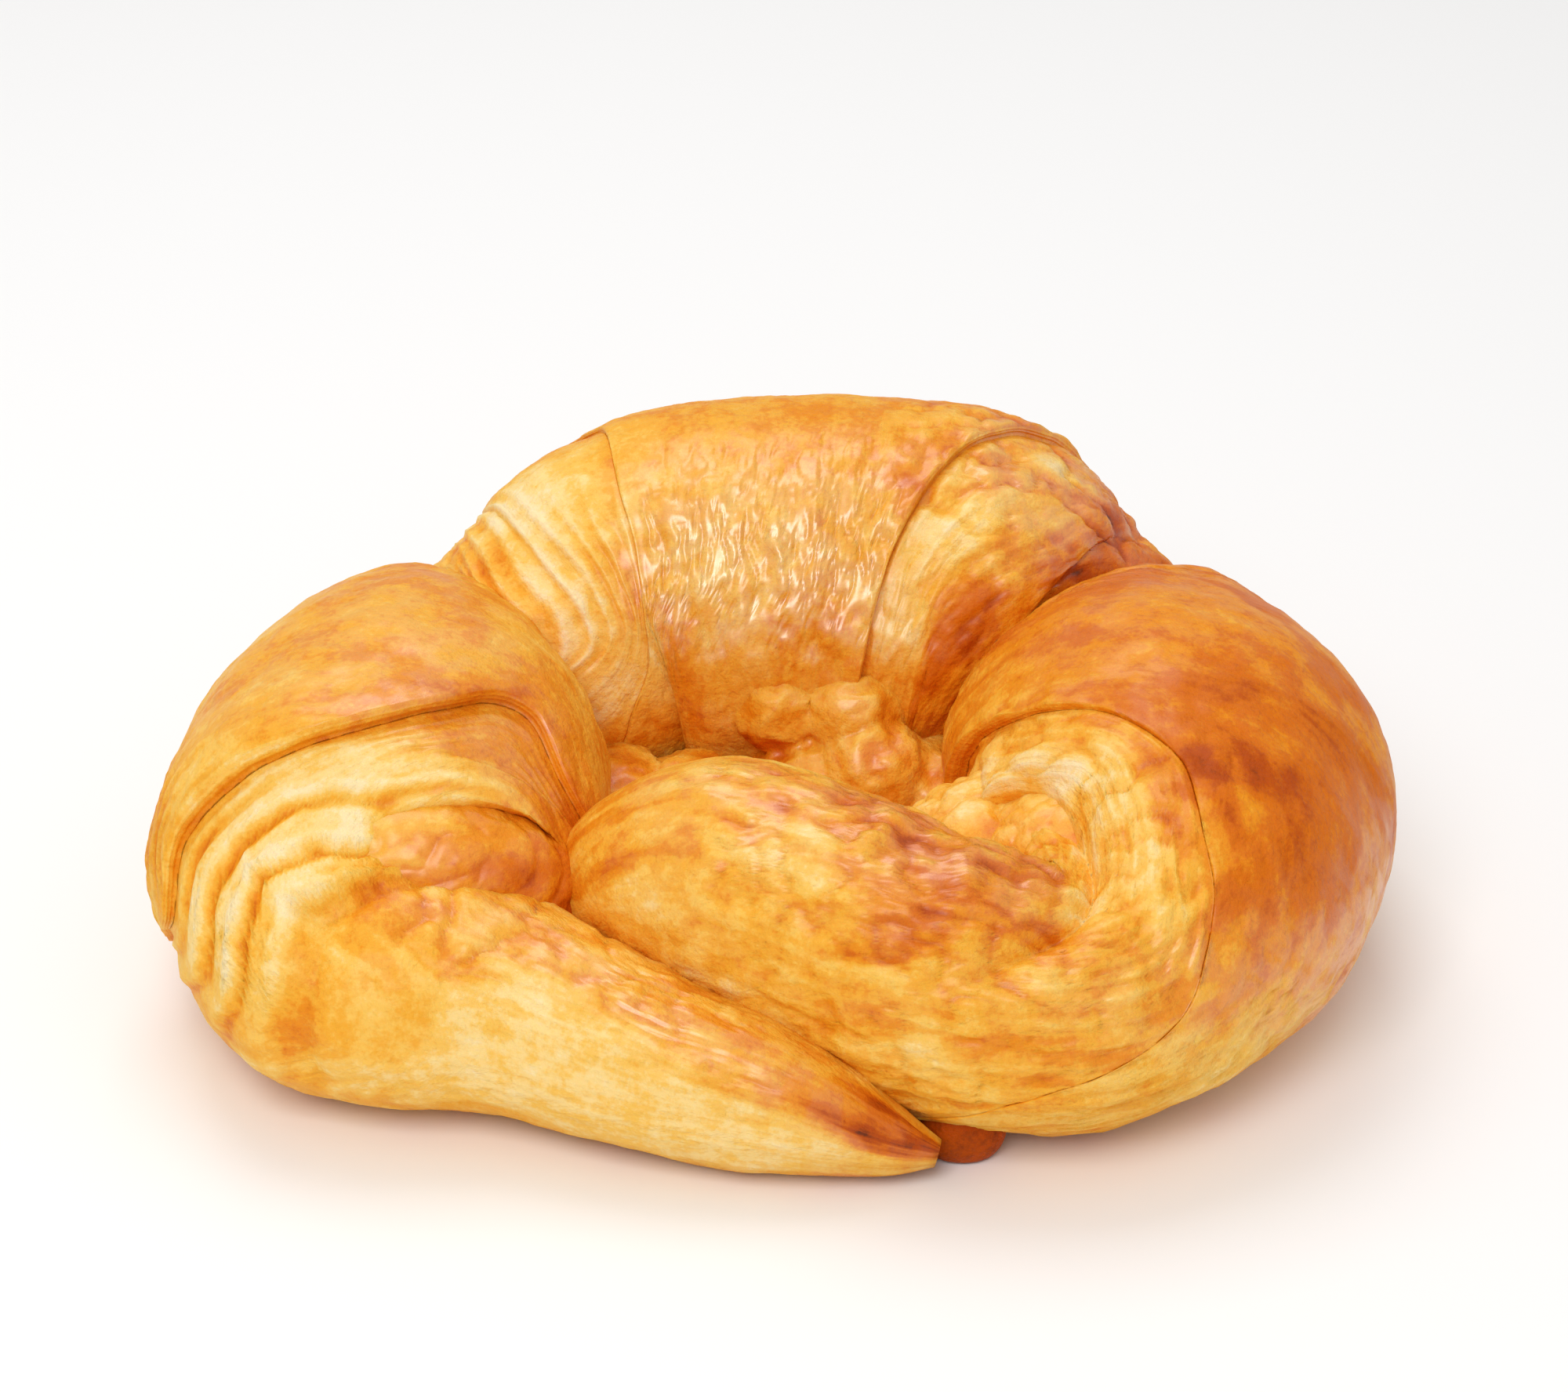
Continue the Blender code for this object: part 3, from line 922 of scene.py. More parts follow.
class MiddleSkin(DoughSkin):
    """The last turn of the dough, round the middle of the roll, with a lip at each side."""

    def sheet(self) -> Sheet:
        """The points of the skin, from the left lip's crevice to the right one's.

        Returns:
            The points, with one column for each angle round the roll.
        """
        turned = self.columns(0.0, 360.0)
        left = self.roll.edge(Side.LEFT, turned)
        right = self.roll.edge(Side.RIGHT, turned)
        top = 0.5 * self.roll.sizes.step
        rows = self.detail.middle_rows
        open_share = np.linspace(0, 1, rows + 1)[:, None]
        out_l, down_l, share_l = self.lip_rows(left, turned, Side.LEFT)
        out_r, down_r, share_r = self.lip_rows(right, turned, Side.RIGHT)
        along = np.vstack([-out_l[::-1], -left + open_share * (left + right), out_r])
        top_l, top_r = top * self.roll.lip(Side.LEFT, turned), top * self.roll.lip(Side.RIGHT, turned)
        lift = np.vstack([top_l - down_l[::-1], top_l + open_share * (top_r - top_l), top_r - down_r])
        lip = np.vstack([share_l[::-1], 0 * open_share + 0 * left, share_r])
        to_edge = np.minimum(along + left, right - along)
        share = 1 - np.clip(to_edge / self.detail.edge_zone, 0, 1)
        turned = np.broadcast_to(turned, along.shape)
        angle = (self.roll.sizes.tail_angle - turned) % 360.0
        edge = np.where(along < 0, self.roll.lip(Side.LEFT, turned), self.roll.lip(Side.RIGHT, turned))
        arc = np.radians(turned) * self.detail.middle_radius
        flow = np.stack([along, arc, np.zeros(along.shape)], axis=-1)
        return Sheet(along, angle, lift, share, lip, edge, flow)

    def opened(self, sheet: Sheet) -> np.ndarray:
        """How much the fine layers show: less than on the horns."""
        return 0.3 * super().opened(sheet)

    def wrinkled(self, sheet: Sheet) -> np.ndarray:
        """How wrinkled the skin is: most on its front, where the egg wash gathers."""
        front = np.exp(-((turn_from(sheet.angle, 140.0) / 26.0) ** 2))
        return 0.25 + 1.9 * front


class HornSkin(DoughSkin):
    """The turns of the dough that wind out to one horn, each from under the lip of the one before."""

    def __init__(
        self, name: str, roll: Roll, detail: SkinDetail, bake: CrustMap, seed: int, side: Side
    ) -> None:
        """Keeps what the skin is made from.

        Args:
            name: the object's name.
            roll: the roll it wraps.
            detail: its fine relief.
            bake: its browned tone, which also holds a painted sheen.
            seed: for its noise.
            side: which horn it is.
        """
        super().__init__(name, roll, detail, bake, seed)
        self.side = side

    def sheet(self) -> Sheet:
        """The points of all the turns, each from its crevice to its lip.

        Returns:
            The points, with one column for each turned angle.
        """
        tip = self.roll.end(self.side)
        ends = np.arange(400.0, 1800.0)
        stop = float(ends[self.roll.edge(self.side, ends - 360.0) < tip][-1])
        turned = self.columns(360.0, stop)
        near = self.roll.edge(self.side, turned - 360.0)
        far = np.maximum(self.roll.edge(self.side, turned), near + 4.0)
        rows = self.detail.rows
        open_share = np.linspace(0, 1, rows + 1)[:, None]
        open_share = open_share * (0.45 + 0.55 * open_share)
        out, down, lip_share = self.lip_rows(far, turned, self.side)
        top = 0.5 * self.roll.sizes.step
        step, next_step = self.roll.lip(self.side, turned - 360.0), self.roll.lip(self.side, turned)
        start = near[None, :] - self.detail.tuck * step
        distance = np.vstack([start, near + open_share * (far - near), out])
        share = np.vstack([0 * start, open_share + 0 * near, 1 + 0 * out])
        first = -top * step[None, :]
        lift = np.vstack([first, self.base_lift(open_share, step, next_step), top * next_step - down])
        lip = np.vstack([0 * start, 0 * open_share + 0 * near, lip_share])
        along = self.side.value * np.minimum(distance, tip)
        turned = np.broadcast_to(turned, along.shape)
        angle = (self.roll.sizes.tail_angle - turned) % 360.0
        edge = step + (next_step - step) * share
        arc = np.radians(turned) * self.detail.grain_radius
        turn = np.floor(turned / 360.0) * self.detail.turn_shift
        flow = np.stack([distance - near, arc, turn], axis=-1)
        return Sheet(along, angle, lift, share, lip, edge, flow)

    def relief(self, sheet: Sheet) -> Relief:
        """Fine relief over the horn, with what only this side of the croissant has.

        Args:
            sheet: where its points lie.

        Returns:
            Height to add at each point, and its parts.
        """
        made = super().relief(sheet)
        if self.side is Side.LEFT:
            self.add_cords(sheet, made)
        else:
            self.add_waves(sheet, made)
        return made

    def add_cords(self, sheet: Sheet, made: Relief) -> None:
        """Adds the thick layers between the lobe's lip and the arm's fold, and the step of that fold.

        Args:
            sheet: where the points lie.
            made: the relief, which it changes.
        """
        detail = self.detail
        past, shown = self.fold(sheet)
        across, arc, turn = np.moveaxis(sheet.flow, -1, 0)
        upright = self.near_zero(sheet.angle)
        layer = across / np.maximum(across - past, 3.0)
        wander = 0.16 * self.noise.layered(across / 7.0, arc / 14.0, turn, 2)
        inside = shown * smooth_rise(-past, 0.0, 1.2) * smooth_rise(across, 0.5, 2.5)
        low = 1 - smooth_rise(upright, 50.0, 105.0)
        plain = (1 - smooth_rise(layer, 0.2, 0.45)) * smooth_rise(upright, 30.0, 70.0)
        inside = inside * (1 - plain)

        place = layer * detail.cords + wander
        cord = self.shingle(place)
        thin = 0.5 + 0.5 * np.sin(2 * np.pi * (2.3 * layer * detail.cords + 3.0 * wander))
        off_groove = np.abs(np.mod(place + 0.5, 1.0) - 0.5)
        groove = np.exp(-((off_groove / 0.11) ** 2)) * inside
        under = smooth_rise(upright, -15.0, 25.0)
        thick = (cord - 0.45) * (0.25 + 0.75 * low) * (0.4 + 0.6 * under)
        cords = inside * (thick + 0.25 * under * (thin - 0.45))

        step = 0.9 * np.exp(-(((past + 2.2) / 1.7) ** 2)) - 0.8 * np.exp(-(((past - 0.4) / 0.9) ** 2))
        step = step - 0.4 * np.exp(-np.maximum(past, 0.0) / 4.0) * smooth_rise(past, 0.0, 0.8)
        step = step * (1 - 0.6 * smooth_rise(upright, 55.0, 80.0))
        old = made.ribs * np.maximum(inside, shown * smooth_rise(past, -1.2, 0.6))
        made.ribs = made.ribs - old + 1.4 * cords - 0.8 * groove
        made.height += detail.cord_height * cords + step * shown - detail.rib_height * old

    def add_waves(self, sheet: Sheet, made: Relief) -> None:
        """Adds the waves along the top of the horn's last turn.

        Args:
            sheet: where the points lie.
            made: the relief, which it changes.
        """
        ridge = np.exp(-((turn_from(sheet.angle, 80.0) / 20.0) ** 2))
        reach = smooth_rise(sheet.along, 116.0, 122.0) * (1 - smooth_rise(sheet.along, 142.0, 152.0))
        waves = self.noise.layered(sheet.along / 2.8, sheet.angle / 40.0, 3.0, 2) * ridge * reach
        made.height += 1.1 * waves
        made.bumps += 0.6 * waves

    @staticmethod
    def shingle(place: np.ndarray) -> np.ndarray:
        """Layers that each rise slowly and end in a steep edge, from 0 to 1."""
        saw = place - np.floor(place)
        return np.where(saw < 0.74, (saw / 0.74) ** 0.8, (1 - saw) / 0.26)

    @staticmethod
    def near_zero(angle: np.ndarray) -> np.ndarray:
        """The same angles, from -90 to 270 degrees."""
        return (angle + 90.0) % 360.0 - 90.0

    def fold(self, sheet: Sheet) -> tuple[np.ndarray, np.ndarray]:
        """The fold where the left arm comes out from under its lobe.

        Args:
            sheet: where the points lie.

        Returns:
            How far each point lies beyond it, and how much of the fold shows there.
        """
        angle = self.near_zero(sheet.angle)
        past = np.abs(sheet.along) - np.interp(angle, *zip(*self.detail.fold_line))
        shown = smooth_rise(angle, -40.0, -15.0) * (1 - smooth_rise(angle, 118.0, 145.0))
        beyond = (np.abs(sheet.along) - sheet.flow[..., 0] > 70.0) & (np.abs(sheet.along) < 130.0)
        return past, shown * beyond

    def browning_and_shading(self, sheet: Sheet, relief: Relief) -> np.ndarray:
        """Browned tone of each point, with painted shade along the crease of the left arm's fold, and
        darker on the lobe's top just above it.

        Args:
            sheet: where the points lie.
            relief: their fine relief.

        Returns:
            One value for each point, from 0 to 1.
        """
        bake = super().browning_and_shading(sheet, relief)
        if self.side is Side.LEFT:
            past, shown = self.fold(sheet)
            top = smooth_rise(self.near_zero(sheet.angle), 45.0, 75.0)
            # Painted shade in the crease of the fold.
            crease_shade = np.exp(-(((past - 0.3) / 0.9) ** 2)) * 0.12
            above = np.exp(-(((past + 2.5) / 2.2) ** 2)) * 0.14 * top
            bake = np.clip(bake + shown * (crease_shade + above), 0.0, 1.0)
        return bake

    def wrinkled(self, sheet: Sheet) -> np.ndarray:
        """How wrinkled the skin is: much on the right horn, but for its smooth lobe.

        Args:
            sheet: where the points lie.

        Returns:
            One value for each point, from 0 to 1.
        """
        made = np.full(sheet.along.shape, 0.35)
        if self.side is Side.RIGHT:
            smooth_lobe = smooth_rise(sheet.along, 52.0, 62.0) * (1 - smooth_rise(sheet.along, 98.0, 106.0))
            made = 0.9 - 0.75 * smooth_lobe
        return made


# Tail and floor


@dataclass(frozen=True)
class CrumbSizes:
    """The crumpled tail of the dough, a crumb beside the left tip, and the floor of the ring.

    Attributes:
        lumps: centre and half sizes of each lump.
        floor: the same for the floor of the ring.
        voxel: size of the cells that join them.
        rough: height of the crumpled relief.
    """

    lumps: tuple[tuple[tuple[float, float, float], tuple[float, float, float]], ...] = (
        ((0.5, 14.0, 23.0), (5.5, 5.0, 5.0)),
        ((9.5, 12.5, 23.0), (6.0, 5.0, 5.5)),
        ((12.0, 9.0, 16.5), (7.0, 6.5, 7.5)),
        ((8.0, 12.0, 10.0), (13.0, 11.0, 11.0)),
        ((21.0, -45.5, 3.0), (5.0, 4.0, 4.5)),
        ((-31.0, -16.0, 12.0), (12.0, 9.0, 10.5)),
        ((19.5, 10.5, 12.5), (5.5, 8.0, 7.5)),
        ((-19.5, 9.0, 11.0), (8.0, 9.0, 8.5)),
        ((-10.0, 8.0, 11.0), (8.0, 9.0, 8.0)),
        ((-27.0, -17.0, 17.0), (7.0, 7.0, 8.0)),
    )
    floor: tuple[tuple[float, float, float], ...] = ((0.0, -6.0, 1.0), (38.0, 40.0, 12.0))
    voxel: float = 0.6
    rough: float = 1.1


class Crumb:
    """The torn, crumpled dough inside the ring."""

    def __init__(self, name: str, sizes: CrumbSizes) -> None:
        """Keeps its sizes.

        Args:
            name: the object's name.
            sizes: its lumps and relief.
        """
        self.name = name
        self.sizes = sizes
        self.noise = LatticeNoise(77)

    def build(self) -> bpy.types.Object:
        """Joins the lumps and crumples them.

        Returns:
            The mesh object, in metres.
        """
        made = []
        for centre, half in (*self.sizes.lumps, self.sizes.floor):
            bpy.ops.object.select_all(action="DESELECT")
            bpy.ops.mesh.primitive_ico_sphere_add(subdivisions=5, radius=1.0)
            lump = bpy.context.object
            lump.data.transform(Matrix.Diagonal((half[0] * MM, half[1] * MM, half[2] * MM, 1.0)))
            lump.data.transform(Matrix.Translation(Vector(centre) * MM))
            made.append(lump)
        for lump in made:
            lump.select_set(True)
        bpy.context.view_layer.objects.active = made[0]
        bpy.ops.object.join()
        obj = take_new(self.name)
        join = obj.modifiers.new("join", "REMESH")
        join.mode = "VOXEL"
        join.voxel_size = self.sizes.voxel * MM
        bpy.ops.object.modifier_apply(modifier=join.name)
        self.crumple(obj)
        bpy.ops.object.shade_smooth()
        log.info("%s: %d faces", self.name, len(obj.data.polygons))
        return obj

    def crumple(self, obj: bpy.types.Object) -> None:
        """Moves the surface by torn folds, and writes its tone, with painted shade and paler crests as
        painted light.

        Args:
            obj: the joined lumps.
        """
        points = places(obj) / MM
        normal = np.empty(points.size)
        obj.data.vertex_normals.foreach_get("vector", normal)
        normal = normal.reshape(-1, 3)
        x, y, z = points.T
        folds = self.noise.layered(x / 5.0, y / 5.0, z / 4.0, 4)
        creases = 1 - 2.2 * np.abs(folds)
        fine = self.noise.layered(x / 1.5, y / 1.5, z / 1.5, 2)
        height = self.sizes.rough * (0.8 * creases - 0.4 + 0.25 * fine)
        high = smooth_rise(z, 8.0, 16.0)
        points = points + normal * (height * high)[:, None]
        points[:, 2] = np.maximum(points[:, 2], 0.25)
        move_to(obj, points * MM)
        # Painted shade: darker in a hollow inside the ring, below its rim.
        hollow = np.exp(-(((x + 4.0) / 4.5) ** 2) - ((y - 10.0) / 6.0) ** 2)
        hollow_shade = hollow * (1 - smooth_rise(z, 19.0, 23.0))
        # Fold crests paler as painted light; darker low down.
        bake = 0.62 - 0.24 * creases * high + 0.4 * hollow_shade + 0.15 * (1 - high)
        # The crumb under the left tip painted dark brown as shade.
        shaded_tip_crumb = (y < -38.0) & (x > 14.0)
        bake = np.where(shaded_tip_crumb, 0.9, bake)
        bake = np.clip(bake, 0.05, 1.0)
        write_crust(obj, points, bake=bake, opened=0.4, lengthwise=0.5, glaze=0.35 * high)


@dataclass(frozen=True)
class PuffSizes:
    """A swollen part of the dough in a bend of the roll.

    Attributes:
        centre: its middle.
        half: half its length, depth and height.
        bake: tone of its back and of its front, the front and lower side darker as painted shade.
        bump: height of its puffed bumps.
        rib: height of its fine layers.
        lean: how much browner its right end is than its middle.
    """

    centre: tuple[float, float, float]
    half: tuple[float, float, float]
    bake: tuple[float, float]
    bump: float
    rib: float
    lean: float


LEFT_PUFF = PuffSizes(
    centre=(-41.0, -24.3, 20.3), half=(19.0, 10.4, 12.8), bake=(0.46, 0.6), bump=0.3, rib=0.35, lean=0.26
)
RIGHT_PUFF = PuffSizes(
    centre=(27.0, -14.0, 17.0), half=(14.0, 12.0, 11.5), bake=(0.36, 0.66), bump=0.8, rib=0.2, lean=0.0
)
BEND_PUFF = PuffSizes(
    centre=(34.0, -20.0, 19.0), half=(11.5, 10.5, 12.0), bake=(0.40, 0.64), bump=0.6, rib=0.15, lean=0.0
)


class Puff:
    """Dough that swells out where the roll bends."""

    def __init__(self, name: str, sizes: PuffSizes, seed: int) -> None:
        """Keeps its sizes.

        Args:
            name: the object's name.
            sizes: its form and its look.
            seed: for its noise.
        """
        self.name = name
        self.sizes = sizes
        self.noise = LatticeNoise(seed)

    def build(self) -> bpy.types.Object:
        """Makes the swelling and writes what its finish reads.

        Returns:
            The mesh object, in metres.
        """
        sizes = self.sizes
        bpy.ops.object.select_all(action="DESELECT")
        bpy.ops.mesh.primitive_ico_sphere_add(subdivisions=7, radius=1.0)
        obj = take_new(self.name)
        unit = places(obj)
        points = unit * sizes.half + sizes.centre
        x, y, z = points.T
        front = smooth_rise(-unit[:, 1] - 0.5 * unit[:, 2], -0.3, 0.5)
        billow = puffed(self.noise.layered(x / 4.5, y / 4.5, z / 4.5, 2)) - 0.5
        down = 0.8 * z - 0.6 * y + 1.2 * self.noise.layered(x / 8.0, y / 8.0, z / 8.0, 2)
        ribs = np.abs(np.sin(np.pi * down / 2.6)) ** 0.8 - 0.6
        fine = self.noise.layered(x / 1.6, down / 0.8, z / 1.6, 2)
        height = sizes.bump * billow + sizes.rib * ribs + 0.12 * fine
        normal = unit / np.array(sizes.half)
        normal = normal / np.linalg.norm(normal, axis=1)[:, None]
        move_to(obj, (points + normal * height[:, None]) * MM)
        blotches = self.noise.layered(x / 5.0, y / 5.0, z / 3.0, 3)
        # Painted shade: the front and lower side darker.
        bake = sizes.bake[0] + (sizes.bake[1] - sizes.bake[0]) * front
        bake = bake + sizes.lean * unit[:, 0] + 0.2 * blotches
        # Painted light and shade: bump and layer crests paler, their hollows browner.
        bake = bake - 0.2 * sizes.bump * billow - 0.25 * sizes.rib * ribs
        grain = np.stack([down, x, y], axis=-1)
        write_crust(obj, grain, bake=np.clip(bake, 0.0, 0.85), opened=0.4, lengthwise=0.0, glaze=0.3)
        bpy.ops.object.shade_smooth()
        log.info("%s: %d faces", self.name, len(obj.data.polygons))
        return obj


# Shader nodes


class Graph:
    """A node tree being built, with sockets that can be used in sums."""

    def __init__(self, tree: bpy.types.NodeTree) -> None:
        """Empties the tree.

        Args:
            tree: the tree to build in.
        """
        self.tree = tree
        tree.nodes.clear()

    def node(self, kind: str, inputs: dict | None = None, **settings: object) -> bpy.types.Node:
        """Adds any node.

        Args:
            kind: its Blender type.
            inputs: values or sockets for its inputs, by name or number.
            settings: its own settings.

        Returns:
            The node.
        """
        made = self.tree.nodes.new(kind)
        for name, value in settings.items():
            setattr(made, name, value)
        for name, value in (inputs or {}).items():
            self.feed(made.inputs[name], value)
        return made

    def feed(self, slot: bpy.types.NodeSocket, value: object) -> None:
        """Links a socket, or sets a plain value.

        Args:
            slot: the input to feed.
            value: an output to link, or the value to set.
        """
        if isinstance(value, Value):
            self.tree.links.new(value.socket, slot)
        elif isinstance(value, bpy.types.NodeSocket):
            self.tree.links.new(value, slot)
        else:
            slot.default_value = value

    def attribute(self, name: str, vector: bool = False) -> "Value":
        """A vertex attribute."""
        made = self.node("ShaderNodeAttribute", attribute_name=name)
        return Value(self, made.outputs["Vector" if vector else "Fac"])

    def noise(self, place: "Value", scale: float, detail: float = 3.0, rough: float = 0.55) -> "Value":
        """Noise from 0 to 1.

        Args:
            place: where it is read.
            scale: its cells in a unit of that place.
            detail: how many smaller sizes are added.
            rough: how strong each of them is.

        Returns:
            The noise.
        """
        made = self.node(
            "ShaderNodeTexNoise", {"Vector": place, "Scale": scale, "Detail": detail, "Roughness": rough}
        )
        return Value(self, made.outputs["Fac"])

    def stretch(self, place: "Value", by: tuple[float, float, float]) -> "Value":
        """A place with its coordinates multiplied."""
        made = self.node("ShaderNodeVectorMath", {0: place, 1: by}, operation="MULTIPLY")
        return Value(self, made.outputs["Vector"])

    def ramp(self, share: "Value", stops: tuple[tuple[float, tuple[float, float, float]], ...]) -> "Value":
        """A colour ramp.

        Args:
            share: where on the ramp, from 0 to 1.
            stops: place and linear colour of each stop.

        Returns:
            The colour.
        """
        made = self.node("ShaderNodeValToRGB", {"Fac": share})
        ramp = made.color_ramp
        ramp.interpolation = "EASE"
        while len(ramp.elements) < len(stops):
            ramp.elements.new(0.5)
        for element, (place, colour) in zip(ramp.elements, stops):
            element.position = place
            element.color = (*colour, 1.0)
        return Value(self, made.outputs["Color"])

    def spread(self, value: "Value", low: float, high: float, to_low: float, to_high: float) -> "Value":
        """A smooth change of range, clamped.

        Args:
            value: what is changed.
            low: the value that becomes to_low.
            high: the value that becomes to_high.
            to_low: one end of the new range.
            to_high: its other end.

        Returns:
            The value in its new range.
        """
        made = self.node(
            "ShaderNodeMapRange",
            {"Value": value, "From Min": low, "From Max": high, "To Min": to_low, "To Max": to_high},
            interpolation_type="SMOOTHSTEP",
        )
        return Value(self, made.outputs["Result"])


class Value:
    """An output socket that can be added, taken away and multiplied."""

    def __init__(self, graph: Graph, socket: bpy.types.NodeSocket) -> None:
        """Wraps a socket.

        Args:
            graph: the tree it is in.
            socket: the output.
        """
        self.graph = graph
        self.socket = socket

    def _math(self, operation: str, first: object, second: object, clamp: bool = False) -> "Value":
        """One sum of two values.

        Args:
            operation: Blender's name of it.
            first: its first value or socket.
            second: its second.
            clamp: whether the result is kept from 0 to 1.

        Returns:
            The result.
        """
        inputs = {0: first, 1: second}
        made = self.graph.node("ShaderNodeMath", inputs, operation=operation, use_clamp=clamp)
        return Value(self.graph, made.outputs[0])

    def __add__(self, other: object) -> "Value":
        """This value plus another."""
        return self._math("ADD", self, other)

    def __radd__(self, other: object) -> "Value":
        """Another value plus this one."""
        return self._math("ADD", other, self)

    def __sub__(self, other: object) -> "Value":
        """This value less another."""
        return self._math("SUBTRACT", self, other)

    def __rsub__(self, other: object) -> "Value":
        """Another value less this one."""
        return self._math("SUBTRACT", other, self)

    def __mul__(self, other: object) -> "Value":
        """This value times another."""
        return self._math("MULTIPLY", self, other)

    def __rmul__(self, other: object) -> "Value":
        """Another value times this one."""
        return self._math("MULTIPLY", other, self)

    def clamped(self) -> "Value":
        """The value kept from 0 to 1."""
        return self._math("ADD", self, 0.0, clamp=True)


def from_srgb(red: float, green: float, blue: float) -> tuple[float, float, float]:
    """A display colour as linear light.

    Args:
        red: its red, 0 to 255.
        green: its green.
        blue: its blue.

    Returns:
        The linear colour, 0 to 1.
    """
    parts = np.array([red, green, blue]) / 255.0
    linear = np.where(parts <= 0.04045, parts / 12.92, ((parts + 0.055) / 1.055) ** 2.4)
    return tuple(float(part) for part in linear)


@dataclass(frozen=True)
class CrustFinish:
    """Baked, egg-washed dough.

    Attributes:
        colours: display colour at each stage of browning.
        pale_rough: roughness of pale dough.
        brown_rough: roughness of the browned skin.
        gloss: strength of the egg-wash coat on the browned skin.
        gloss_rough: roughness of that coat.
        shine: how much the bare crust reflects.
        glow: share of the light that spreads inside the dough.
        glow_reach: how far it spreads, for red, green and blue, in millimetres.
        coat_bend: refractive index of the coat.
        bump_height: height of the finest relief, in millimetres.
        bump_strength: how much of it shows.
        mottle_scale: cells of the broad mottling in a metre.
        fine_scale: the same for the fine unevenness.
        speck_scale: the same for the specks.
        patch_scale: the same for the patches of egg wash.
        pore_scale: the same for the pores.
        round_streaks: cells in a metre of the streaks round the roll: across them, along them, by turn.
        along_streaks: the same for the streaks along the roll.
        wrinkles: the same for the finest wrinkles.
    """

    colours: tuple[tuple[float, tuple[float, float, float]], ...] = (
        (0.0, (252, 226, 172)),
        (0.15, (251, 214, 136)),
        (0.30, (248, 194, 86)),
        (0.45, (243, 172, 50)),
        (0.60, (234, 142, 20)),
        (0.74, (217, 110, 6)),
        (0.87, (184, 76, 4)),
        (1.0, (100, 42, 16)),
    )
    pale_rough: float = 0.6
    brown_rough: float = 0.45
    gloss: float = 1.0
    gloss_rough: float = 0.32
    shine: float = 0.08
    glow: float = 0.12
    glow_reach: tuple[float, float, float] = (2.6, 1.2, 0.35)
    coat_bend: float = 2.3
    bump_height: float = 0.65
    bump_strength: float = 0.8
    mottle_scale: float = 260.0
    fine_scale: float = 480.0
    speck_scale: float = 1500.0
    patch_scale: float = 240.0
    pore_scale: float = 1700.0
    round_streaks: tuple[float, float, float] = (900.0, 110.0, 1000.0)
    along_streaks: tuple[float, float, float] = (220.0, 600.0, 1000.0)
    wrinkles: tuple[float, float, float] = (1100.0, 450.0, 1000.0)

    def make(self, name: str) -> bpy.types.Material:
        """Makes the material.

        Args:
            name: its name.

        Returns:
            The material.
        """
        material = bpy.data.materials.new(name)
        material.use_nodes = True
        graph = Graph(material.node_tree)
        place = Value(graph, graph.node("ShaderNodeTexCoord").outputs["Object"])
        flow = graph.attribute("flow", vector=True)
        # The vertex tone: browned dough, with painted shade and painted light in places.
        bake = graph.attribute("bake")
        opened = graph.attribute("opened")

        length = graph.attribute("lengthwise")
        fine = graph.noise(place, self.fine_scale, 4.0, 0.65)
        specks = graph.noise(place, self.speck_scale, 2.0)
        round_it = graph.noise(graph.stretch(flow, self.round_streaks), 1.0, 4.0)
        along_it = graph.noise(graph.stretch(flow, self.along_streaks), 1.0, 4.0)
        streak = round_it + (along_it - round_it) * length
        mottle = graph.noise(place, self.mottle_scale, 5.0, 0.68)
        calm = graph.spread(bake, 0.5, 0.85, 1.0, 0.4)
        uneven = (mottle - 0.5) * 0.42 + (fine - 0.5) * 0.30
        uneven = uneven + (streak - 0.5) * 0.16 + (specks - 0.5) * 0.22
        varied = bake + uneven * calm
        stops = tuple((at, from_srgb(*colour)) for at, colour in self.colours)
        colour = graph.ramp(varied.clamped(), stops)

        browned = graph.spread(bake, 0.25, 0.6, 0.0, 1.0)
        patchy = graph.spread(graph.noise(place, self.patch_scale, 4.0), 0.40, 0.55, 0.4, 1.0)
        rough = self.pale_rough + browned * (self.brown_rough - self.pale_rough) + (fine - 0.5) * 0.2
        shown = graph.spread(bake, 0.62, 0.85, 1.0, 0.35)
        coat = graph.attribute("glaze") * patchy * shown * self.gloss

        wrinkle = graph.noise(graph.stretch(flow, self.wrinkles), 1.0, 5.0, 0.6)
        pores = graph.noise(place, self.pore_scale, 3.0)
        height = wrinkle * 0.45 + pores * 0.3 + streak * opened * 0.5 + fine * 0.9
        bump = graph.node(
            "ShaderNodeBump",
            {"Height": height, "Strength": self.bump_strength, "Distance": self.bump_height * MM},
        )

        shader = graph.node(
            "ShaderNodeBsdfPrincipled",
            {
                "Base Color": colour,
                "Roughness": rough,
                "Coat Weight": coat,
                "Coat Roughness": self.gloss_rough,
                "Coat IOR": self.coat_bend,
                "Normal": bump.outputs["Normal"],
                "Specular IOR Level": self.shine,
                "Subsurface Weight": self.glow,
                "Subsurface Radius": self.glow_reach,
                "Subsurface Scale": 1.0 * MM,
            },
        )
        graph.node("ShaderNodeOutputMaterial", {"Surface": shader.outputs["BSDF"]})
        return material


@dataclass(frozen=True)
class PlainFinish:
    """One even colour.

    Attributes:
        colour: display colour.
        rough: its roughness.
    """

    colour: tuple[float, float, float]
    rough: float

    def make(self, name: str) -> bpy.types.Material:
        """Makes the material.

        Args:
            name: its name.

        Returns:
            The material.
        """
        material = bpy.data.materials.new(name)
        material.use_nodes = True
        shader = material.node_tree.nodes["Principled BSDF"]
        shader.inputs["Base Color"].default_value = (*from_srgb(*self.colour), 1.0)
        shader.inputs["Roughness"].default_value = self.rough
        return material


# The whole croissant


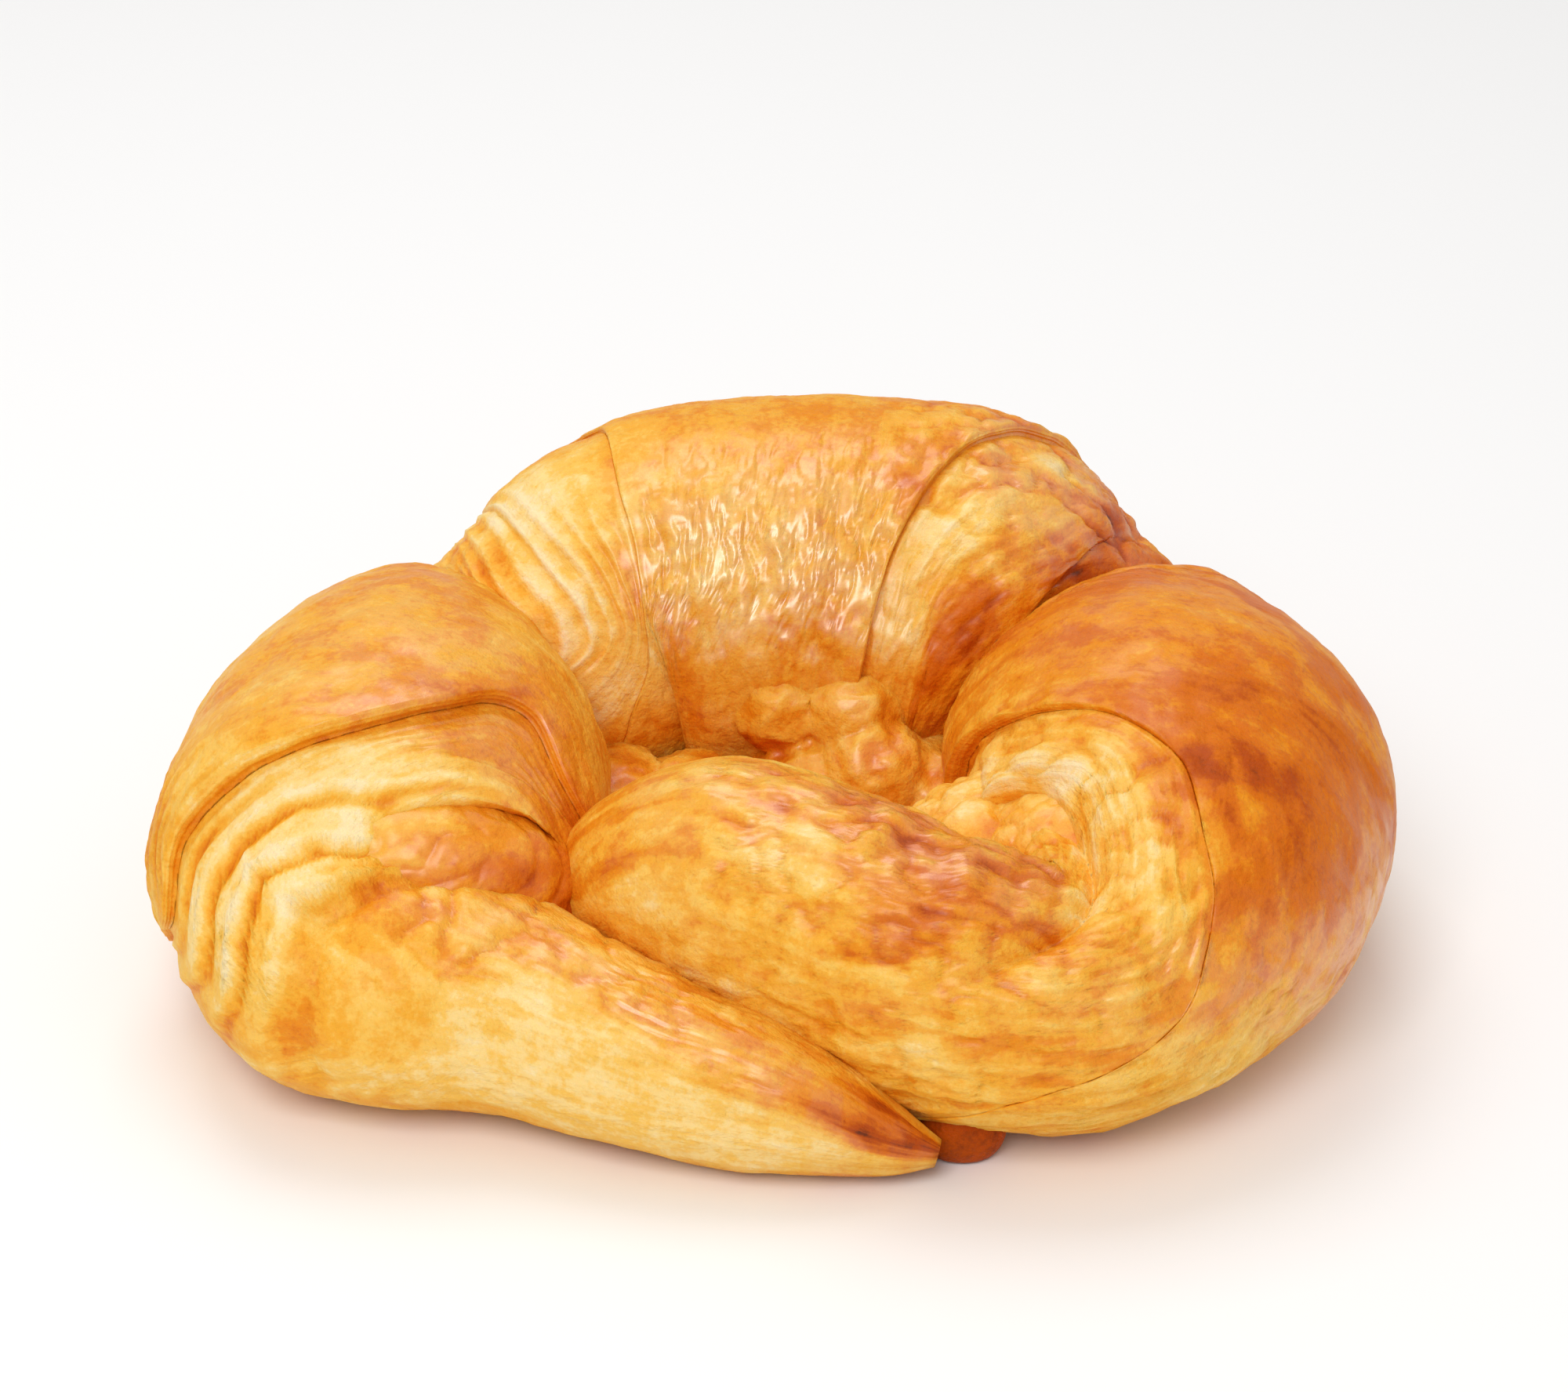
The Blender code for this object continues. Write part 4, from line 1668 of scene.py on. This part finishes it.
class Croissant:
    """All the pieces of the croissant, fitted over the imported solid."""

    def __init__(self) -> None:
        """Sets the sizes and finishes."""
        self.roll = Roll(RollSizes())
        self.detail = SkinDetail()
        self.bake = BROWNING_AND_SHEEN
        self.finish = CrustFinish()

    def build(self) -> list[bpy.types.Object]:
        """Builds every piece, fits it over the solid and gives it its finish.

        Returns:
            The pieces.
        """
        parts = (self.roll, self.detail, self.bake)
        pieces = [
            MiddleSkin("middle_skin", *parts, seed=11).build(),
            HornSkin("left_horn_skin", *parts, seed=21, side=Side.LEFT).build(),
            HornSkin("right_horn_skin", *parts, seed=31, side=Side.RIGHT).build(),
            Crumb("tail_crumb", CrumbSizes()).build(),
            Puff("left_puff", LEFT_PUFF, seed=41).build(),
            Puff("right_puff", RIGHT_PUFF, seed=43).build(),
            Puff("bend_puff", BEND_PUFF, seed=45).build(),
        ]
        self.fit(pieces)
        crust = self.finish.make("baked_crust")
        for piece in pieces:
            piece.data.materials.clear()
            piece.data.materials.append(crust)
            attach(piece, "root")
            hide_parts(NODE)
        return pieces

    def fit(self, pieces: list[bpy.types.Object]) -> None:
        """Moves and slightly scales the pieces together into the solid's box.

        Args:
            pieces: all of them.
        """
        low, high = (np.array(corner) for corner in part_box(NODE))
        arrays = [places(piece) for piece in pieces]
        points = np.vstack(arrays)
        mine_low, mine_high = points.min(axis=0), points.max(axis=0)
        scale = (high - low) / (mine_high - mine_low)
        log.info("fit: scale %s, middle %s", np.round(scale, 4), np.round((mine_low + mine_high) / 2, 5))
        for piece, array in zip(pieces, arrays):
            move_to(piece, low + (array - mine_low) * scale)
            piece.data.update()


# Studio


@dataclass(frozen=True)
class Softbox:
    """A square area light.

    Attributes:
        name: its name.
        place: where it is, in metres.
        aim: what it points at.
        size: length of its side.
        power: its watts.
        colour: its colour.
    """

    name: str
    place: tuple[float, float, float]
    aim: tuple[float, float, float]
    size: float
    power: float
    colour: tuple[float, float, float] = (1.0, 1.0, 1.0)


@dataclass(frozen=True)
class Studio:
    """Pale floor, soft light and the photo's camera.

    Attributes:
        lights: the softboxes.
        sky: strength of the even light from all round.
        floor_size: length of the floor's side.
        floor_colour: display colour of the floor.
        floor_rough: its roughness.
        lens: focal length in mm.
        sensor: width of the sensor in mm.
        elevation: how far the camera looks down, in degrees.
        distance: from the camera to what it aims at.
        aim: the point that it aims at.
    """

    lights: tuple[Softbox, ...] = (
        Softbox("back_softbox", (-0.10, 0.32, 0.70), (0.0, 0.0, 0.02), 0.42, 1.6),
        Softbox("front_softbox", (-0.16, -0.58, 0.72), (0.0, 0.0, 0.02), 0.46, 3.5),
    )
    sky: float = 0.58
    floor_size: float = 6.0
    floor_colour: tuple[float, float, float] = (250, 249, 248)
    floor_rough: float = 0.6
    lens: float = 85.0
    sensor: float = 36.0
    elevation: float = 29.0
    distance: float = 0.443
    aim: tuple[float, float, float] = (0.0009, 0.0, 0.0306)

    def build(self) -> None:
        """Adds the floor, the lights and the camera."""
        bpy.ops.object.select_all(action="DESELECT")
        bpy.ops.mesh.primitive_plane_add(size=self.floor_size)
        floor = bpy.context.object
        floor.name = "floor"
        floor.data.materials.append(PlainFinish(self.floor_colour, self.floor_rough).make("floor"))

        world = bpy.data.worlds.new("studio")
        bpy.context.scene.world = world
        world.use_nodes = True
        back = world.node_tree.nodes["Background"]
        back.inputs["Color"].default_value = (1.0, 1.0, 1.0, 1.0)
        back.inputs["Strength"].default_value = self.sky
        for light in self.lights:
            self.lamp(light)
        self.camera()
        bpy.context.scene.view_settings.view_transform = "Standard"

    @staticmethod
    def lamp(light: Softbox) -> None:
        """Adds one softbox.

        Args:
            light: its sizes and its power.
        """
        data = bpy.data.lights.new(light.name, "AREA")
        data.energy = light.power
        data.size = light.size
        data.color = light.colour
        obj = bpy.data.objects.new(light.name, data)
        bpy.context.scene.collection.objects.link(obj)
        obj.location = light.place
        obj.rotation_euler = (Vector(light.aim) - Vector(light.place)).to_track_quat("-Z", "Y").to_euler()

    def camera(self) -> None:
        """Adds the camera at the photo's angle."""
        data = bpy.data.cameras.new("photo_camera")
        data.lens = self.lens
        data.sensor_width = self.sensor
        obj = bpy.data.objects.new("photo_camera", data)
        bpy.context.scene.collection.objects.link(obj)
        tilt = math.radians(self.elevation)
        back = Vector((0.0, -math.cos(tilt), math.sin(tilt)))
        obj.location = Vector(self.aim) + back * self.distance
        obj.rotation_euler = (-back).to_track_quat("-Z", "Y").to_euler()
        bpy.context.scene.camera = obj


def main() -> None:
    """Builds the croissant and the studio."""
    Croissant().build()
    Studio().build()


if __name__ == "__main__":
    main()
